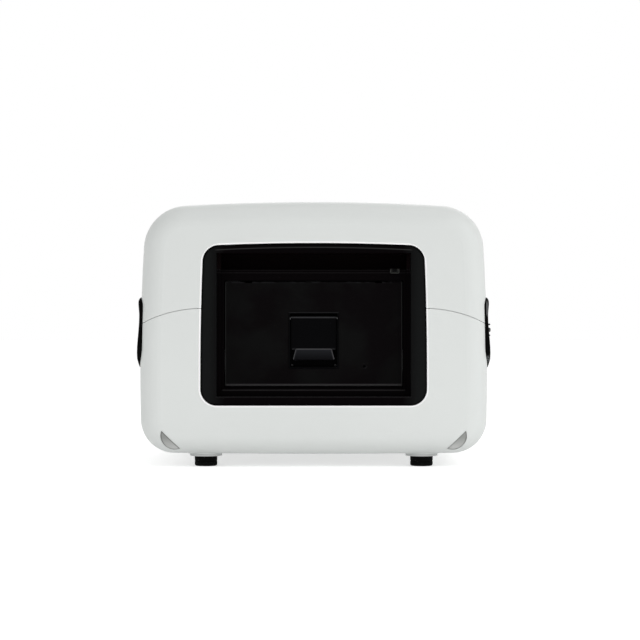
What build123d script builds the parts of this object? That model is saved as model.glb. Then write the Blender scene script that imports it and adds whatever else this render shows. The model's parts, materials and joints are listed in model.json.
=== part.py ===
from build123d import *
import math
import os

# Bench-top immunoassay analyzer. Millimetres, +Z up, the front faces -Y.
# The origin is the middle of the footprint, on the surface that the feet stand on.
# A white two-shell casing carries a black bezel and a black bay. A drawer with a
# flush pull latch closes the bay, and a reader travels above the drawer's rack.

# Casing
case_width = 347.0            # widest, low on the sides
case_height = 252.0           # from the underside to the top of the crown
case_depth = 300.0
foot_gap = 12.7               # the underside above the bench
wall = 3.0
side_bow = 2210.0             # radii of the shallow arcs seen from the front
top_bow = 2190.0
bottom_bow = 9900.0
widest_height = 80.0          # of the casing's widest place, above its underside
top_corner_radius = 44.0
bottom_corner_radius = 34.0
front_round = 22.0
back_round = 12.0

# Clearances
fit = 0.3                     # between pieces that are pushed together
snug = 0.02                   # radial, a rod or pin held in its hole
running = 0.05                # radial, a shaft that turns or slides

# Parting line of the two shells
seam_height = 145.4           # of its level stretch, above the underside
seam_flat_half = 110.0        # half of the level stretch
seam_drop_radius = 130.0      # the line curves down towards the sides with this radius
seam_gap = 0.5
lip_wall = 1.4
lip_height = 4.0

# Bezel
bezel_half = 112.0            # at its widest
bezel_widest = 76.0           # height of that place above the casing's underside
bezel_top = 209.9             # its middle, above the casing's underside
bezel_bottom = 49.3
bezel_top_bow = 2210.0        # radii of its shallow arcs
bezel_side_bow = 3070.0
bezel_corner = 16.0
bezel_depth = 11.0            # from the front plane to its back
bezel_sunk = 0.6              # its face lies this far behind the casing's front
opening_edge = 1.2            # rounding of the casing's edge round the bezel
bezel_edge = 1.5
bezel_flange = 4.0
bezel_flange_wall = 1.5

# Opening in the bezel and the recess behind it
recess_half = 96.4
recess_top = 200.4            # above the underside
recess_bottom = 57.7
rim_depth = 14.0              # from the front plane to the stepped rim
rim_side = 3.6
rim_bottom = 6.2
ledge_depth = 21.0            # from the front plane to the ledge round the drawer
frame_depth = 29.0            # from the front plane to the back of that frame
frame_border = 3.6            # of the frame outside the recess
pocket_depth = 50.0           # of the dark pocket above the header
sensor_width = 9.3            # of the light barrier on the header's lip
sensor_height = 4.8
sensor_depth = 2.0
sensor_inset = 7.2            # from the pocket's right side
sensor_drop = 3.5             # of its underside below the header's upper edge
header_height = 10.5
header_lip = 1.2              # a thin lip along the header's upper edge
header_lip_height = 2.2

# Drawer front
drawer_half = 88.5
drawer_top = 172.4            # above the underside
drawer_bottom = 67.4
drawer_face_depth = 20.0      # from the front plane to the drawer's face
drawer_plate = 5.0
drawer_gap = 1.0
drawer_edge = 1.4
drawer_low_edge = 2.4
drawer_tab_width = 13.0
drawer_tab_height = 0.6
drawer_notch_width = 7.0
drawer_notch_height = 1.6
drawer_travel = 140.0
pinhole_x = 50.7
pinhole_height = 87.3         # above the underside
pinhole_radius = 0.9
pinhole_chamfer = 0.8

# Liner tunnel, runners and tray
sheet = 2.5                   # wall of the liner and of the tray
tunnel_spare = 6.5            # behind the runners, inside the tunnel
tunnel_height = 111.0         # of its side walls
slide_margin = 0.6            # the slide clears the drawer's opening by this much
slide_bar = 3.5
slide_height = 15.4
slide_web_height = 8.4
runner_lip = 1.0
runner_back = 1.8
runner_height = 22.0
runner_spare = 4.0            # of the fixed rails past the moving ones
runner_centre = 25.9          # above the tunnel's floor
tray_side_gap = 1.5           # from the runner to the tray
tray_lift = 3.5               # of the tray's floor above the tunnel's floor
tray_height = 42.0
slide_overlap = 30.0          # of the rails with the drawer fully out
tray_front_wall = 22.5        # room between the drawer's plate and the tray's front wall
tray_tab = 12.0
tray_tab_height = 34.0

# Rack for the test cartridges
rack_height = 20.0
rack_slots = 6
rack_pitch = 25.5
rack_slot_width = 20.0
rack_end = 12.0               # of solid rack before and behind the slots
rack_slot_depth = 13.0
rack_slot_corner = 2.0
rack_thumb_width = 12.0

# Flush pull latch
cup_half = 25.0
cup_top = 141.9               # above the underside
cup_bottom = 85.2
cup_flange = 0.6
cup_flange_wall = 1.0
cup_wall = 0.8
cup_depth = 20.0
paddle_gap = 0.4
paddle_wall = 3.0
knuckle_radius = 3.0
knuckle_drop = 4.7            # of the pin below the cup's inner top
pin_radius = 1.5
lip_top = 105.4               # of the paddle's finger lip, above the underside
lip_bottom = 94.5
lip_top_half = 18.0
lip_bottom_half = 20.9
lip_reach = 5.0
lip_thick = 2.2
paddle_angle = 28.0
arm_length = 17.5
arm_width = 8.0
arm_tip_radius = 1.6
bolt_width = 16.0
bolt_wall = 3.0
bolt_window_play = 1.0
bolt_length = 67.6
bolt_clear = 0.5              # of the bolt's nose and of the strike in the drawer's way
bolt_nose = 2.0
guide_height = 14.0
guide_drop = 10.0             # from the drawer's top edge down to the guide
strap_wall = 1.5
spring_radius = 1.8
spring_wire = 0.6
spring_length = 12.8
seat_wall = 2.0
rivet_radius = 1.4
strike_wall = 1.5
strike_width = 24.0

# Reader above the rack
rod_radius = 4.0
rod_spacing = 36.0
rod_height = 71.0             # above the tunnel's floor
screw_radius = 3.0
screw_rise = 10.0             # of the lead screw above the guide rods
head_width = 44.0
head_depth = 56.0
head_low = 15.0               # of the head's underside below the rods
head_high = 26.0
barrel_radius = 11.0
barrel_length = 5.5
lens_radius = 7.0
lens_wall = 2.0
head_corner = 3.0
motor_side = 35.2
motor_corner = 4.0
motor_length = 34.0

# Chassis, boards and supply
base_side_gap = 28.5          # of the base plate inside the casing's width
base_end_gap = 22.0           # inside its depth, at each end
base_wall = 1.5
base_corner = 8.0
base_lift = 11.0              # of the base plate above the underside
boss_radius = 5.0
boss_side_inset = 13.0        # of the bosses inside the base plate's sides
boss_end_inset = 28.0
bracket_wall = 2.0
bracket_length = 150.0
bracket_flange = 14.0
board_width = 130.0
board_length = 170.0
board_wall = 1.6
standoff_height = 6.0
standoff_radius = 3.0
chip_side = 16.0
chip_height = 3.0
processor_side = 24.0
plug_count = 3                # of connectors along the board's rear edge
plug_length = 30.0
plug_depth = 9.0
plug_height = 9.0
supply_tunnel_gap = 12.0      # from the tunnel to the supply
supply_grip_gap = 4.0         # from the grip's well to the supply
supply_length = 112.0
supply_height = 92.0

# Rear panel and what it carries
rear_open_half = 120.0
rear_open_low = 37.3          # above the underside
rear_open_high = 197.3
rear_open_corner = 8.0
panel_screw_inset = 20.0      # from the opening's upper and lower edge
rear_overlap = 7.0
rear_wall = 1.7
fan_x = 72.0
fan_height = 132.0            # above the underside
fan_side = 60.0
fan_thick = 15.0
fan_bore = 28.0
fan_tip_gap = 1.0
fan_corner = 5.0
fan_blades = 7
fan_hub = 13.0
fan_axle = 1.5
fan_axle_short = 3.0          # the axle ends this far inside the rear panel
fan_hub_short = 1.5
fan_struts = 3
fan_strut_width = 3.0
fan_strut_wall = 2.0
blade_root = 1.0              # of a blade inside the hub
blade_chord = 12.0
blade_wall = 1.2
blade_pitch = 35.0            # degrees
guard_wire = 1.2
guard_rings = 4
vent_x = -62.0
vent_rows = 8
vent_pitch = 9.0
vent_length = 80.0
vent_width = 3.6
port_height = 62.0            # of the inlet's, switch's and ports' middle above the underside
inlet_x = -84.0
inlet_width = 27.0
inlet_height = 20.0
inlet_depth = 24.0
inlet_wall = 2.2
inlet_pin_width = 2.0
inlet_pin_height = 5.0
inlet_pin_length = 15.0
switch_x = -42.0
switch_width = 15.0
switch_height = 21.0
switch_depth = 16.0
rocker_angle = 8.0            # to each side of the middle
rocker_depth = 3.5
rocker_pivot = 1.0            # radius of its axle, and the face's height above it
ports_x = 10.0
ports_width = 40.0
ports_height = 16.0
ports_depth = 20.0
port_socket = 12.2
port_socket_depth = 12.0
flange_wall = 1.6
flange_border = 3.0
flange_corner = 2.0

# Side grips
grip_front = 12.0             # from the front plane to the grip's front end
grip_length = 150.0
grip_low = 85.3               # above the underside
grip_high = 156.5
grip_top_corner = 10.0
grip_low_corner = 22.0
grip_rim = 8.5
grip_well = 17.0              # depth of the finger well behind the rim
grip_wall = 2.0
grip_proud_top = 1.4
grip_proud_waist = 0.5
grip_proud_low = 3.0
grip_crest = 0.06             # shares of the grip's height: the upper swell's place from the top,
grip_waist = 0.25             # the waist's from the top,
grip_swell = 0.17             # and the fullest place's from the bottom
stud_radius = 2.0
stud_height = 124.1           # above the underside
stud_step = 1.0               # the pips end this far short of the screw's head
pip_pitch = 5.4
pip_radius = 0.9

# Corner insets, feet and fasteners
inset_side = 35.5             # of the disc's centre from the casing's side
inset_height = 19.0           # of the disc's centre above the underside
inset_radius = 13.6
inset_chord = 5.6             # from the disc's centre to its straight edge
inset_pocket = 1.6
inset_sunk = 0.5
inset_back_gap = 0.2
foot_side_inset = 65.0        # of the feet inside the casing's sides
foot_end_inset = 35.0
foot_radius = 11.4
foot_height = 10.2
foot_edge = 1.2
collar_radius = 16.1
collar_wall = 2.4
pad_radius = 18.0
screw_shank = 1.5
screw_head = 2.9
screw_head_wall = 1.8

# Places worked out from the sizes
bottom = foot_gap
top = foot_gap + case_height
front = -case_depth / 2
back = case_depth / 2
half = case_width / 2
seam_z = bottom + seam_height
bezel_back = front + bezel_depth
rim_y = front + rim_depth
ledge_y = front + ledge_depth
frame_back = front + frame_depth
face_y = front + drawer_face_depth
plate_back = face_y + drawer_plate
drawer_z0 = bottom + drawer_bottom
drawer_z1 = bottom + drawer_top
floor_z = drawer_z0 - drawer_gap
header_z0 = drawer_z1 + drawer_gap
header_z1 = header_z0 + header_height
opening_half = drawer_half + drawer_gap
slide_outer = opening_half - slide_margin
slide_inner = slide_outer - slide_bar
cavity_inner = slide_inner - fit
cavity_outer = slide_outer + fit
tunnel_half = cavity_outer + runner_back
runner_inner = cavity_inner - runner_lip
tray_half = runner_inner - tray_side_gap
tray_length = drawer_travel + slide_overlap
runner_length = tray_length + runner_spare
tunnel_back = frame_back + runner_length + tunnel_spare + sheet
tray_y0 = plate_back + tray_front_wall + sheet
tray_y1 = plate_back + tray_length - sheet
rack_slot_length = tray_y1 - tray_y0 - 2 * fit - 2 * rack_end
tray_z0 = floor_z + tray_lift
runner_z = floor_z + runner_centre
cup_back = face_y + cup_depth
cup_z0 = bottom + cup_bottom
cup_z1 = bottom + cup_top
cup_inner_half = cup_half - cup_flange - cup_wall
cup_inner_z0 = cup_z0 + cup_flange + cup_wall
cup_inner_z1 = cup_z1 - cup_flange - cup_wall
pin_z = cup_inner_z1 - knuckle_drop
bolt_y = cup_back + bolt_clear
pin_y = bolt_y + bolt_wall / 2 - arm_length
bolt_z1 = header_z0 - bolt_clear
bolt_z0 = bolt_z1 - bolt_length
rod_z = floor_z + rod_height
screw_z = rod_z + screw_rise
base_z = bottom + base_lift
base_width = case_width - 2 * base_side_gap
base_length = case_depth - 2 * base_end_gap
boss_x = base_width / 2 - boss_side_inset
boss_y = base_length / 2 - boss_end_inset
inset_x = half - inset_side
foot_x = half - foot_side_inset
foot_y = back - foot_end_inset
rear_y = back - wall - fit - rear_wall
panel_face = rear_y + rear_wall
rocker_y = panel_face + flange_wall - rocker_pivot
port_z = bottom + port_height
fan_z = bottom + fan_height


def along_x(sketch, x0, x1):
    """Pushes a sketch drawn in Y and Z from x0 to x1."""
    place = Plane(origin=(x0, 0, 0), x_dir=(0, 1, 0), z_dir=(1, 0, 0))
    return extrude(place * sketch, amount=x1 - x0, dir=(1, 0, 0))


def along_y(sketch, y0, y1):
    """Pushes a sketch drawn in X and Z from y0 to y1."""
    place = Plane(origin=(0, y1, 0), x_dir=(1, 0, 0), z_dir=(0, -1, 0))
    return extrude(place * sketch, amount=y1 - y0, dir=(0, -1, 0))


def along_z(sketch, z0, z1):
    """Pushes a sketch drawn in X and Y from z0 to z1."""
    return extrude(Plane.XY.offset(z0) * sketch, amount=z1 - z0, dir=(0, 0, 1))


def block(x0, x1, y0, y1, z0, z1):
    """A box between two corners."""
    middle = Pos((x0 + x1) / 2, (y0 + y1) / 2, (z0 + z1) / 2)
    return middle * Box(x1 - x0, y1 - y0, z1 - z0)


def rod_along_x(y, z, radius, x0, x1):
    return along_x(Pos(y, z) * Circle(radius), x0, x1)


def rod_along_y(x, z, radius, y0, y1):
    return along_y(Pos(x, z) * Circle(radius), y0, y1)


def rod_along_z(x, y, radius, z0, z1):
    return along_z(Pos(x, y) * Circle(radius), z0, z1)


def soft_box(width, height, radius):
    return RectangleRounded(width, height, radius)


def other_side(piece):
    return mirror(piece, about=Plane.YZ)


def bowed_sides(reach, height, radius, grow):
    """The space between two wide arcs, left and right, that reach furthest at a height."""
    right = Pos(reach - radius, height) * Circle(radius + grow)
    left = Pos(radius - reach, height) * Circle(radius + grow)
    return right & left


def case_outline(inset):
    """The casing seen from the front: four shallow arcs with rounded corners."""
    outline = bowed_sides(half, bottom + widest_height, side_bow, -inset)
    outline &= Pos(0, top - top_bow) * Circle(top_bow - inset)
    outline &= Pos(0, bottom + bottom_bow) * Circle(bottom_bow - inset)
    outline = fillet(outline.vertices().sort_by(Axis.Y)[:2], bottom_corner_radius - inset)
    return fillet(outline.vertices().sort_by(Axis.Y)[-2:], top_corner_radius - inset)


def case_body(inset):
    """The casing's whole volume, with its skin moved in by inset."""
    body = along_y(case_outline(inset), front + inset, back - inset)
    body = fillet(body.faces().sort_by(Axis.Y)[0].edges(), front_round - inset)
    return fillet(body.faces().sort_by(Axis.Y)[-1].edges(), back_round - inset)


def seam_side(shift, above):
    """The half space above or below the parting line, drawn from the front."""
    level = seam_z + shift
    end = half + wall
    run = end - seam_flat_half

    def drop(share):
        return level - seam_drop_radius + math.sqrt(seam_drop_radius ** 2 - (run * share) ** 2)

    far = top + wall if above else bottom - wall - collar_wall
    line = [
        ThreePointArc((-end, drop(1)), (-seam_flat_half - run / 2, drop(0.5)), (-seam_flat_half, level)),
        Line((-seam_flat_half, level), (seam_flat_half, level)),
        ThreePointArc((seam_flat_half, level), (seam_flat_half + run / 2, drop(0.5)), (end, drop(1))),
        Polyline((end, drop(1)), (end, far), (-end, far), (-end, drop(1))),
    ]
    return along_y(make_face(line), front - wall, back + wall)


def bezel_outline(grow):
    """The bezel from the front: wider below, its top bowed, its corners rounded."""
    low = bottom + bezel_bottom - grow
    outline = bowed_sides(bezel_half, bottom + bezel_widest, bezel_side_bow, grow)
    outline &= Pos(0, bottom + bezel_top - bezel_top_bow) * Circle(bezel_top_bow + grow)
    outline &= Pos(0, low + case_height) * Rectangle(case_width, 2 * case_height)
    return fillet(outline.vertices(), bezel_corner + grow)


def grip_outline(grow):
    """The grip from the side, drawn in Y and Z."""
    centre = Pos(front + grip_front + grip_length / 2, bottom + (grip_low + grip_high) / 2)
    outline = centre * Rectangle(grip_length + 2 * grow, grip_high - grip_low + 2 * grow)
    outline = fillet(outline.vertices().sort_by(Axis.Y)[:2], grip_low_corner + grow)
    return fillet(outline.vertices().sort_by(Axis.Y)[-2:], grip_top_corner + grow)


def inset_outline(grow):
    """A disc cut by a straight edge at 45 degrees, for the left front corner."""
    centre = Pos(-inset_x, bottom + inset_height)
    beyond = Rectangle(2 * inset_radius, 4 * inset_radius)
    keep = Rot(0, 0, 45) * Pos(-inset_radius - inset_chord + grow, 0) * beyond
    return centre * (Circle(inset_radius + grow) & keep)


def foot_places():
    return [(sx * foot_x, sy * foot_y) for sx in (-1, 1) for sy in (-1, 1)]


def boss_places():
    return [(sx * boss_x, sy * boss_y) for sx in (-1, 1) for sy in (-1, 1)]


def panel_screw_places():
    side = rear_open_half + rear_overlap / 2
    heights = (bottom + rear_open_low + panel_screw_inset, bottom + rear_open_high - panel_screw_inset)
    return [(sx * side, z) for sx in (-1, 1) for z in heights]


def rear_opening(grow):
    width = 2 * (rear_open_half + grow)
    height = rear_open_high - rear_open_low + 2 * grow
    return Pos(0, bottom + (rear_open_low + rear_open_high) / 2) * soft_box(width, height, rear_open_corner)


skin = case_body(0)
cavity = case_body(wall)


def make_shells():
    """The two casing shells, hollow, with the front, rear and side openings."""
    shell = skin - cavity
    shell -= along_y(bezel_outline(fit), front - wall, bezel_back)
    shell = fillet(shell.faces().sort_by(Axis.Y)[0].inner_wires()[0].edges(), opening_edge)
    shell -= along_y(rear_opening(0), back - 2 * wall, back + wall)
    for x, z in panel_screw_places():
        shell -= rod_along_y(x, z, screw_shank + fit, back - 2 * wall, back + wall)
        shell -= rod_along_y(x, z, screw_head + fit, back - screw_head_wall, back + wall)
    side_cut = along_x(grip_outline(fit), half - 2 * grip_well, half + wall)
    shell -= side_cut
    shell -= other_side(side_cut)
    pocket = along_y(inset_outline(fit), front - wall, front + front_round) - case_body(inset_pocket)
    shell -= pocket
    shell -= other_side(pocket)
    upper = shell & seam_side(seam_gap / 2, True)
    lower = shell & seam_side(-seam_gap / 2, False)

    # The lower shell's lip stands inside the upper shell, all round but for the openings.
    outer = case_body(wall + fit)
    inner = case_body(wall + fit + lip_wall)
    band = seam_side(-lip_height, True) & seam_side(lip_height, False)
    lip = (outer - inner) & band
    root = (case_body(wall / 2) - inner) & seam_side(-lip_height, True) & seam_side(-seam_gap / 2, False)
    ring = lip + root
    room = wall + fit + lip_wall
    ring -= along_y(bezel_outline(bezel_flange + 2 * fit), front - wall, front + front_round)
    ring -= along_y(rear_opening(rear_overlap + fit), back - 2 * room, back + wall)
    side_room = along_x(grip_outline(grip_wall + 2 * fit), half - 2 * grip_well, half + wall)
    ring -= side_room
    ring -= other_side(side_room)
    lower += ring

    for x, y in foot_places():
        lower += rod_along_z(x, y, pad_radius, foot_height + collar_wall, bottom + wall)
        lower -= rod_along_z(x, y, screw_shank + fit, bottom - wall, bottom + 2 * wall)
    for x, y in boss_places():
        boss = rod_along_z(x, y, boss_radius, bottom + wall / 2, base_z)
        lower += boss & skin
    return upper, lower


def make_bezel():
    body = along_y(bezel_outline(0), front + bezel_sunk, bezel_back)
    body = fillet(body.faces().sort_by(Axis.Y)[0].edges(), bezel_edge)
    flange_y = front + wall + fit
    body += along_y(bezel_outline(bezel_flange), flange_y, flange_y + bezel_flange_wall)
    z0 = bottom + recess_bottom
    z1 = bottom + recess_top
    return body - block(-recess_half, recess_half, front - wall, back, z0, z1)


def make_liner():
    """The black bay: the stepped recess frame, the header and the pocket above it."""
    z0 = bottom + recess_bottom
    z1 = bottom + recess_top
    side = recess_half + frame_border
    liner = block(-side, side, bezel_back, frame_back, z0 - frame_border, z1 + frame_border)
    liner -= block(-recess_half, recess_half, bezel_back, rim_y, z0, z1)
    inner_half = recess_half - rim_side
    liner -= block(-inner_half, inner_half, rim_y, ledge_y, z0 + rim_bottom, z1)
    liner -= block(-opening_half, opening_half, ledge_y, frame_back, floor_z, header_z0)

    # The pocket above the header goes further back and has its own roof, floor and back.
    pocket_y = front + pocket_depth
    liner += block(-inner_half - sheet, inner_half + sheet, frame_back, pocket_y + sheet,
                   header_z1 - sheet, z1 + sheet)
    liner -= block(-inner_half, inner_half, ledge_y, pocket_y, header_z1, z1)
    return liner + block(-inner_half, inner_half, ledge_y - header_lip, ledge_y,
                         header_z1 - header_lip_height, header_z1)


def make_tunnel():
    """The drawer's housing behind the frame, open above, where the reader looks down."""
    tunnel_z1 = floor_z + tunnel_height
    outside = tunnel_half + sheet
    tunnel = block(-outside, outside, frame_back, tunnel_back, floor_z - sheet, tunnel_z1)
    tunnel -= block(-tunnel_half, tunnel_half, frame_back, tunnel_back - sheet, floor_z, tunnel_z1)
    for y in (-rod_spacing / 2, rod_spacing / 2):
        tunnel -= rod_along_x(y, rod_z, rod_radius + snug, -outside - wall, outside + wall)
    return tunnel - rod_along_x(0, screw_z, screw_radius + running, -outside - wall, outside + wall)


def make_runner():
    """The right fixed rail: a C section with its mouth towards the drawer."""
    half_height = runner_height / 2
    rail = block(runner_inner, tunnel_half, 0, runner_length, -half_height, half_height)
    channel = slide_height / 2 + fit
    rail -= block(cavity_inner, cavity_outer, 0, runner_length, -channel, channel)
    mouth = slide_web_height / 2 + fit
    rail -= block(runner_inner, cavity_inner, 0, runner_length, -mouth, mouth)
    return Pos(0, frame_back + fit, runner_z) * rail


def make_slide():
    """The right moving rail: a flat bar in the channel, with a web to the tray."""
    y0 = plate_back
    y1 = plate_back + tray_length
    bar_half = slide_height / 2
    web_half = slide_web_height / 2
    slide = block(slide_inner, slide_outer, y0, y1, runner_z - bar_half, runner_z + bar_half)
    return slide + block(tray_half, slide_inner, y0, y1, runner_z - web_half, runner_z + web_half)


def tab_screw_places():
    x = tray_half - sheet - tray_tab / 2
    return [(sx * x, tray_z0 + z) for sx in (-1, 1) for z in (tray_tab_height / 4, tray_tab_height)]


def make_tray():
    """An open box that hangs between the slides, with tabs to the drawer's front."""
    y0 = plate_back
    y1 = plate_back + tray_length
    tray = block(-tray_half, tray_half, y0, y1, tray_z0, tray_z0 + tray_height)
    tray -= block(-tray_half + sheet, tray_half - sheet, y0, y1 - sheet,
                  tray_z0 + sheet, tray_z0 + tray_height)
    wall_y = y0 + tray_front_wall
    tray += block(-tray_half, tray_half, wall_y, wall_y + sheet, tray_z0, tray_z0 + tray_height)
    for side in (-1, 1):
        tab = block(tray_half - sheet - tray_tab, tray_half, y0, y0 + sheet, tray_z0, tray_z0 + tray_height)
        tray += tab if side > 0 else other_side(tab)
    for x, z in tab_screw_places():
        tray -= rod_along_y(x, z, screw_shank + fit, y0, y0 + sheet)
    return tray


def make_rack():
    """The insert with slots for the test cartridges, each with a thumb notch."""
    x1 = tray_half - sheet - fit
    y0 = tray_y0 + fit
    y1 = tray_y1 - fit
    z0 = tray_z0 + sheet
    rack = block(-x1, x1, y0, y1, z0, z0 + rack_height)
    middle = (y0 + y1) / 2
    slot_z = z0 + rack_height - rack_slot_depth
    slot = along_z(soft_box(rack_slot_width, rack_slot_length, rack_slot_corner), slot_z, z0 + rack_height)
    thumb_z = z0 + rack_height - rack_slot_depth / 2
    thumb = along_z(Circle(rack_thumb_width / 2), thumb_z, z0 + rack_height)
    for k in range(rack_slots):
        x = (k - (rack_slots - 1) / 2) * rack_pitch
        rack -= Pos(x, middle, 0) * slot
        rack -= Pos(x, middle - rack_slot_length / 2, 0) * thumb
    return rack


def guide_z():
    return drawer_z1 - guide_drop - guide_height


def make_drawer_front():
    """The black front plate, with the latch's cut-out and the bolt's guide behind it."""
    plate = block(-drawer_half, drawer_half, face_y, plate_back, drawer_z0, drawer_z1)
    edges = plate.faces().sort_by(Axis.Y)[0].edges().sort_by(Axis.Z)
    plate = fillet(edges[0], drawer_low_edge)
    edges = plate.faces().sort_by(Axis.Y)[0].edges().sort_by(Axis.Z)
    plate = fillet(edges[-1], drawer_edge)
    cut_half = cup_half - cup_flange + fit / 2
    plate -= block(-cut_half, cut_half, face_y, plate_back,
                   cup_z0 + cup_flange - fit / 2, cup_z1 - cup_flange + fit / 2)
    for side in (-1, 1):
        tab_x = side * (drawer_half - drawer_tab_width / 2 - drawer_edge)
        plate += block(tab_x - drawer_tab_width / 2, tab_x + drawer_tab_width / 2,
                       face_y + drawer_edge, plate_back, drawer_z1, drawer_z1 + drawer_tab_height)
        notch_x = side * (drawer_half - drawer_tab_width - 1.5 * drawer_notch_width)
        plate -= block(notch_x - drawer_notch_width / 2, notch_x + drawer_notch_width / 2,
                       face_y, plate_back, drawer_z1 - drawer_notch_height, drawer_z1)
    hole_z = bottom + pinhole_height
    plate -= rod_along_y(pinhole_x, hole_z, pinhole_radius, face_y, plate_back)
    mouth = Cone(pinhole_radius, pinhole_radius + pinhole_chamfer, pinhole_chamfer)
    plate -= Pos(pinhole_x, face_y + pinhole_chamfer / 2, hole_z) * Rot(90, 0, 0) * mouth
    for x, z in tab_screw_places():
        plate -= rod_along_y(x, z, screw_shank + snug, plate_back - wall, plate_back)

    # A block and two ribs behind the plate carry the bolt.
    z0 = guide_z()
    z1 = z0 + guide_height
    rib = bolt_width / 2 + fit
    edge = rib + drawer_plate
    plate += block(-edge, edge, plate_back, bolt_y - fit, z0, z1)
    for side in (-1, 1):
        x0, x1 = sorted((side * rib, side * edge))
        plate += block(x0, x1, bolt_y - fit, bolt_y + bolt_wall + fit, z0, z1)
    return plate


def make_bolt_strap():
    """A plate across the guide's ribs that keeps the bolt in."""
    z0 = guide_z()
    edge = bolt_width / 2 + fit + drawer_plate
    y0 = bolt_y + bolt_wall + fit
    return block(-edge, edge, y0, y0 + strap_wall, z0, z0 + guide_height)


def make_latch_cup():
    """The latch's housing: a flanged cup with a finger space under the paddle."""
    outer_half = cup_half - cup_flange
    z0 = cup_z0 + cup_flange
    z1 = cup_z1 - cup_flange
    cup = block(-cup_half, cup_half, face_y - cup_flange_wall, face_y, cup_z0, cup_z1)
    cup = fillet(cup.faces().sort_by(Axis.Y)[0].edges(), cup_flange_wall / 2)
    cup += block(-outer_half, outer_half, face_y, cup_back, z0, z1)
    cup -= block(-cup_inner_half, cup_inner_half, face_y - 2 * cup_flange_wall, cup_back - cup_wall,
                 cup_inner_z0, cup_inner_z1)
    # A window in the back lets the paddle's arm reach the bolt.
    arm_drop = arm_length * math.sin(math.radians(paddle_angle))
    window_half = arm_width / 2 + bolt_window_play
    cup -= block(-window_half, window_half, cup_back - 2 * cup_wall, cup_back,
                 pin_z - arm_drop - knuckle_radius, pin_z + knuckle_radius)
    cup -= rod_along_x(pin_y, pin_z, pin_radius + snug, -cup_half, cup_half)
    # The shelf behind the cup seats the bolt's spring.
    seat_z = bolt_z0 - spring_length - fit
    seat_y1 = bolt_y + bolt_wall + spring_radius / 2
    seat_half = bolt_width / 4
    return cup + block(-seat_half, seat_half, cup_back - cup_wall, seat_y1, seat_z - seat_wall, seat_z)


def make_paddle():
    """The pull: a knuckle on the pin, a flat flap, a flared finger lip and an arm behind."""
    wide = cup_inner_half - paddle_gap
    flap_y = pin_y - knuckle_radius
    lip_z1 = bottom + lip_top
    lip_z0 = bottom + lip_bottom
    paddle = rod_along_x(pin_y, pin_z, knuckle_radius, -wide, wide)
    paddle += block(-wide, wide, flap_y, flap_y + paddle_wall, lip_z1, pin_z)
    profile = make_face(Polyline(
        (flap_y, lip_z1 + lip_thick), (flap_y, lip_z1), (flap_y - lip_reach, lip_z0),
        (flap_y - lip_reach + lip_thick, lip_z0), (flap_y + paddle_wall, lip_z1),
        (flap_y + paddle_wall, lip_z1 + lip_thick), (flap_y, lip_z1 + lip_thick)))
    flare = make_face(Polyline(
        (-lip_top_half, lip_z1 + lip_thick), (-lip_top_half, lip_z1), (-lip_bottom_half, lip_z0),
        (lip_bottom_half, lip_z0), (lip_top_half, lip_z1), (lip_top_half, lip_z1 + lip_thick),
        (-lip_top_half, lip_z1 + lip_thick)))
    paddle += along_x(profile, -wide, wide) & along_y(flare, flap_y - 2 * lip_reach, pin_y)
    arm = block(-arm_width / 2, arm_width / 2, pin_y, pin_y + arm_length,
                pin_z - arm_tip_radius, pin_z + arm_tip_radius)
    paddle += arm
    paddle += rod_along_x(pin_y + arm_length, pin_z, arm_tip_radius, -arm_width / 2, arm_width / 2)
    return paddle - rod_along_x(pin_y, pin_z, pin_radius + running, -wide, wide)


def make_pin():
    return rod_along_x(pin_y, pin_z, pin_radius, -cup_half + cup_flange, cup_half - cup_flange)


def make_bolt():
    """A flat bar with a bevelled nose and a window that the paddle's arm works in."""
    side = bolt_width / 2
    y0 = bolt_y
    y1 = bolt_y + bolt_wall
    profile = make_face(Polyline(
        (y0, bolt_z0), (y1, bolt_z0), (y1, bolt_z1 - bolt_nose), (y1 - bolt_nose, bolt_z1),
        (y0, bolt_z1), (y0, bolt_z0)))
    bolt = along_x(profile, -side, side)
    window_half = arm_width / 2 + bolt_window_play
    reach = arm_tip_radius + bolt_window_play
    return bolt - block(-window_half, window_half, y0, y1, pin_z - reach, pin_z + reach)


def make_spring():
    """The spring under the bolt, as the sleeve that its coil fills."""
    z1 = bolt_z0 - fit / 2
    ring = Circle(spring_radius) - Circle(spring_radius - spring_wire)
    return Pos(0, bolt_y + bolt_wall / 2, 0) * along_z(ring, z1 - spring_length, z1)


def make_strike():
    """The keeper on the header's back: a hooked strip whose lip hangs before the bolt."""
    y0 = frame_back
    y2 = bolt_y - bolt_clear
    y1 = y2 - strike_wall
    z0 = header_z0 + bolt_clear
    z1 = header_z1 - sheet
    hook = make_face(Polyline(
        (y0, z0), (y0 + strike_wall, z0), (y0 + strike_wall, z1 - strike_wall), (y1, z1 - strike_wall),
        (y1, z0), (y2, z0), (y2, z1), (y0, z1), (y0, z0)))
    return along_x(hook, -strike_width / 2, strike_width / 2)


def make_latch_rivets():
    """Two round heads in the lower corners of the finger space."""
    x = cup_inner_half - rivet_radius - fit
    z = cup_inner_z0 + rivet_radius + fit
    head_y = cup_back - cup_wall
    return [rod_along_y(side * x, z, rivet_radius, head_y - rivet_radius, head_y) for side in (-1, 1)]


def screw_at(x, z, head_y, length):
    """A screw along Y whose head faces +Y and whose shank ends at head_y - length."""
    head = rod_along_y(x, z, screw_head, head_y, head_y + screw_head_wall)
    return head + rod_along_y(x, z, screw_shank, head_y - length, head_y)


def make_drawer_screws():
    reach = sheet + wall - fit
    return [screw_at(x, z, plate_back + sheet, reach) for x, z in tab_screw_places()]


def make_panel_screws():
    head_y = back - screw_head_wall
    return [screw_at(x, z, head_y, wall + rear_wall + fit) for x, z in panel_screw_places()]


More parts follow.
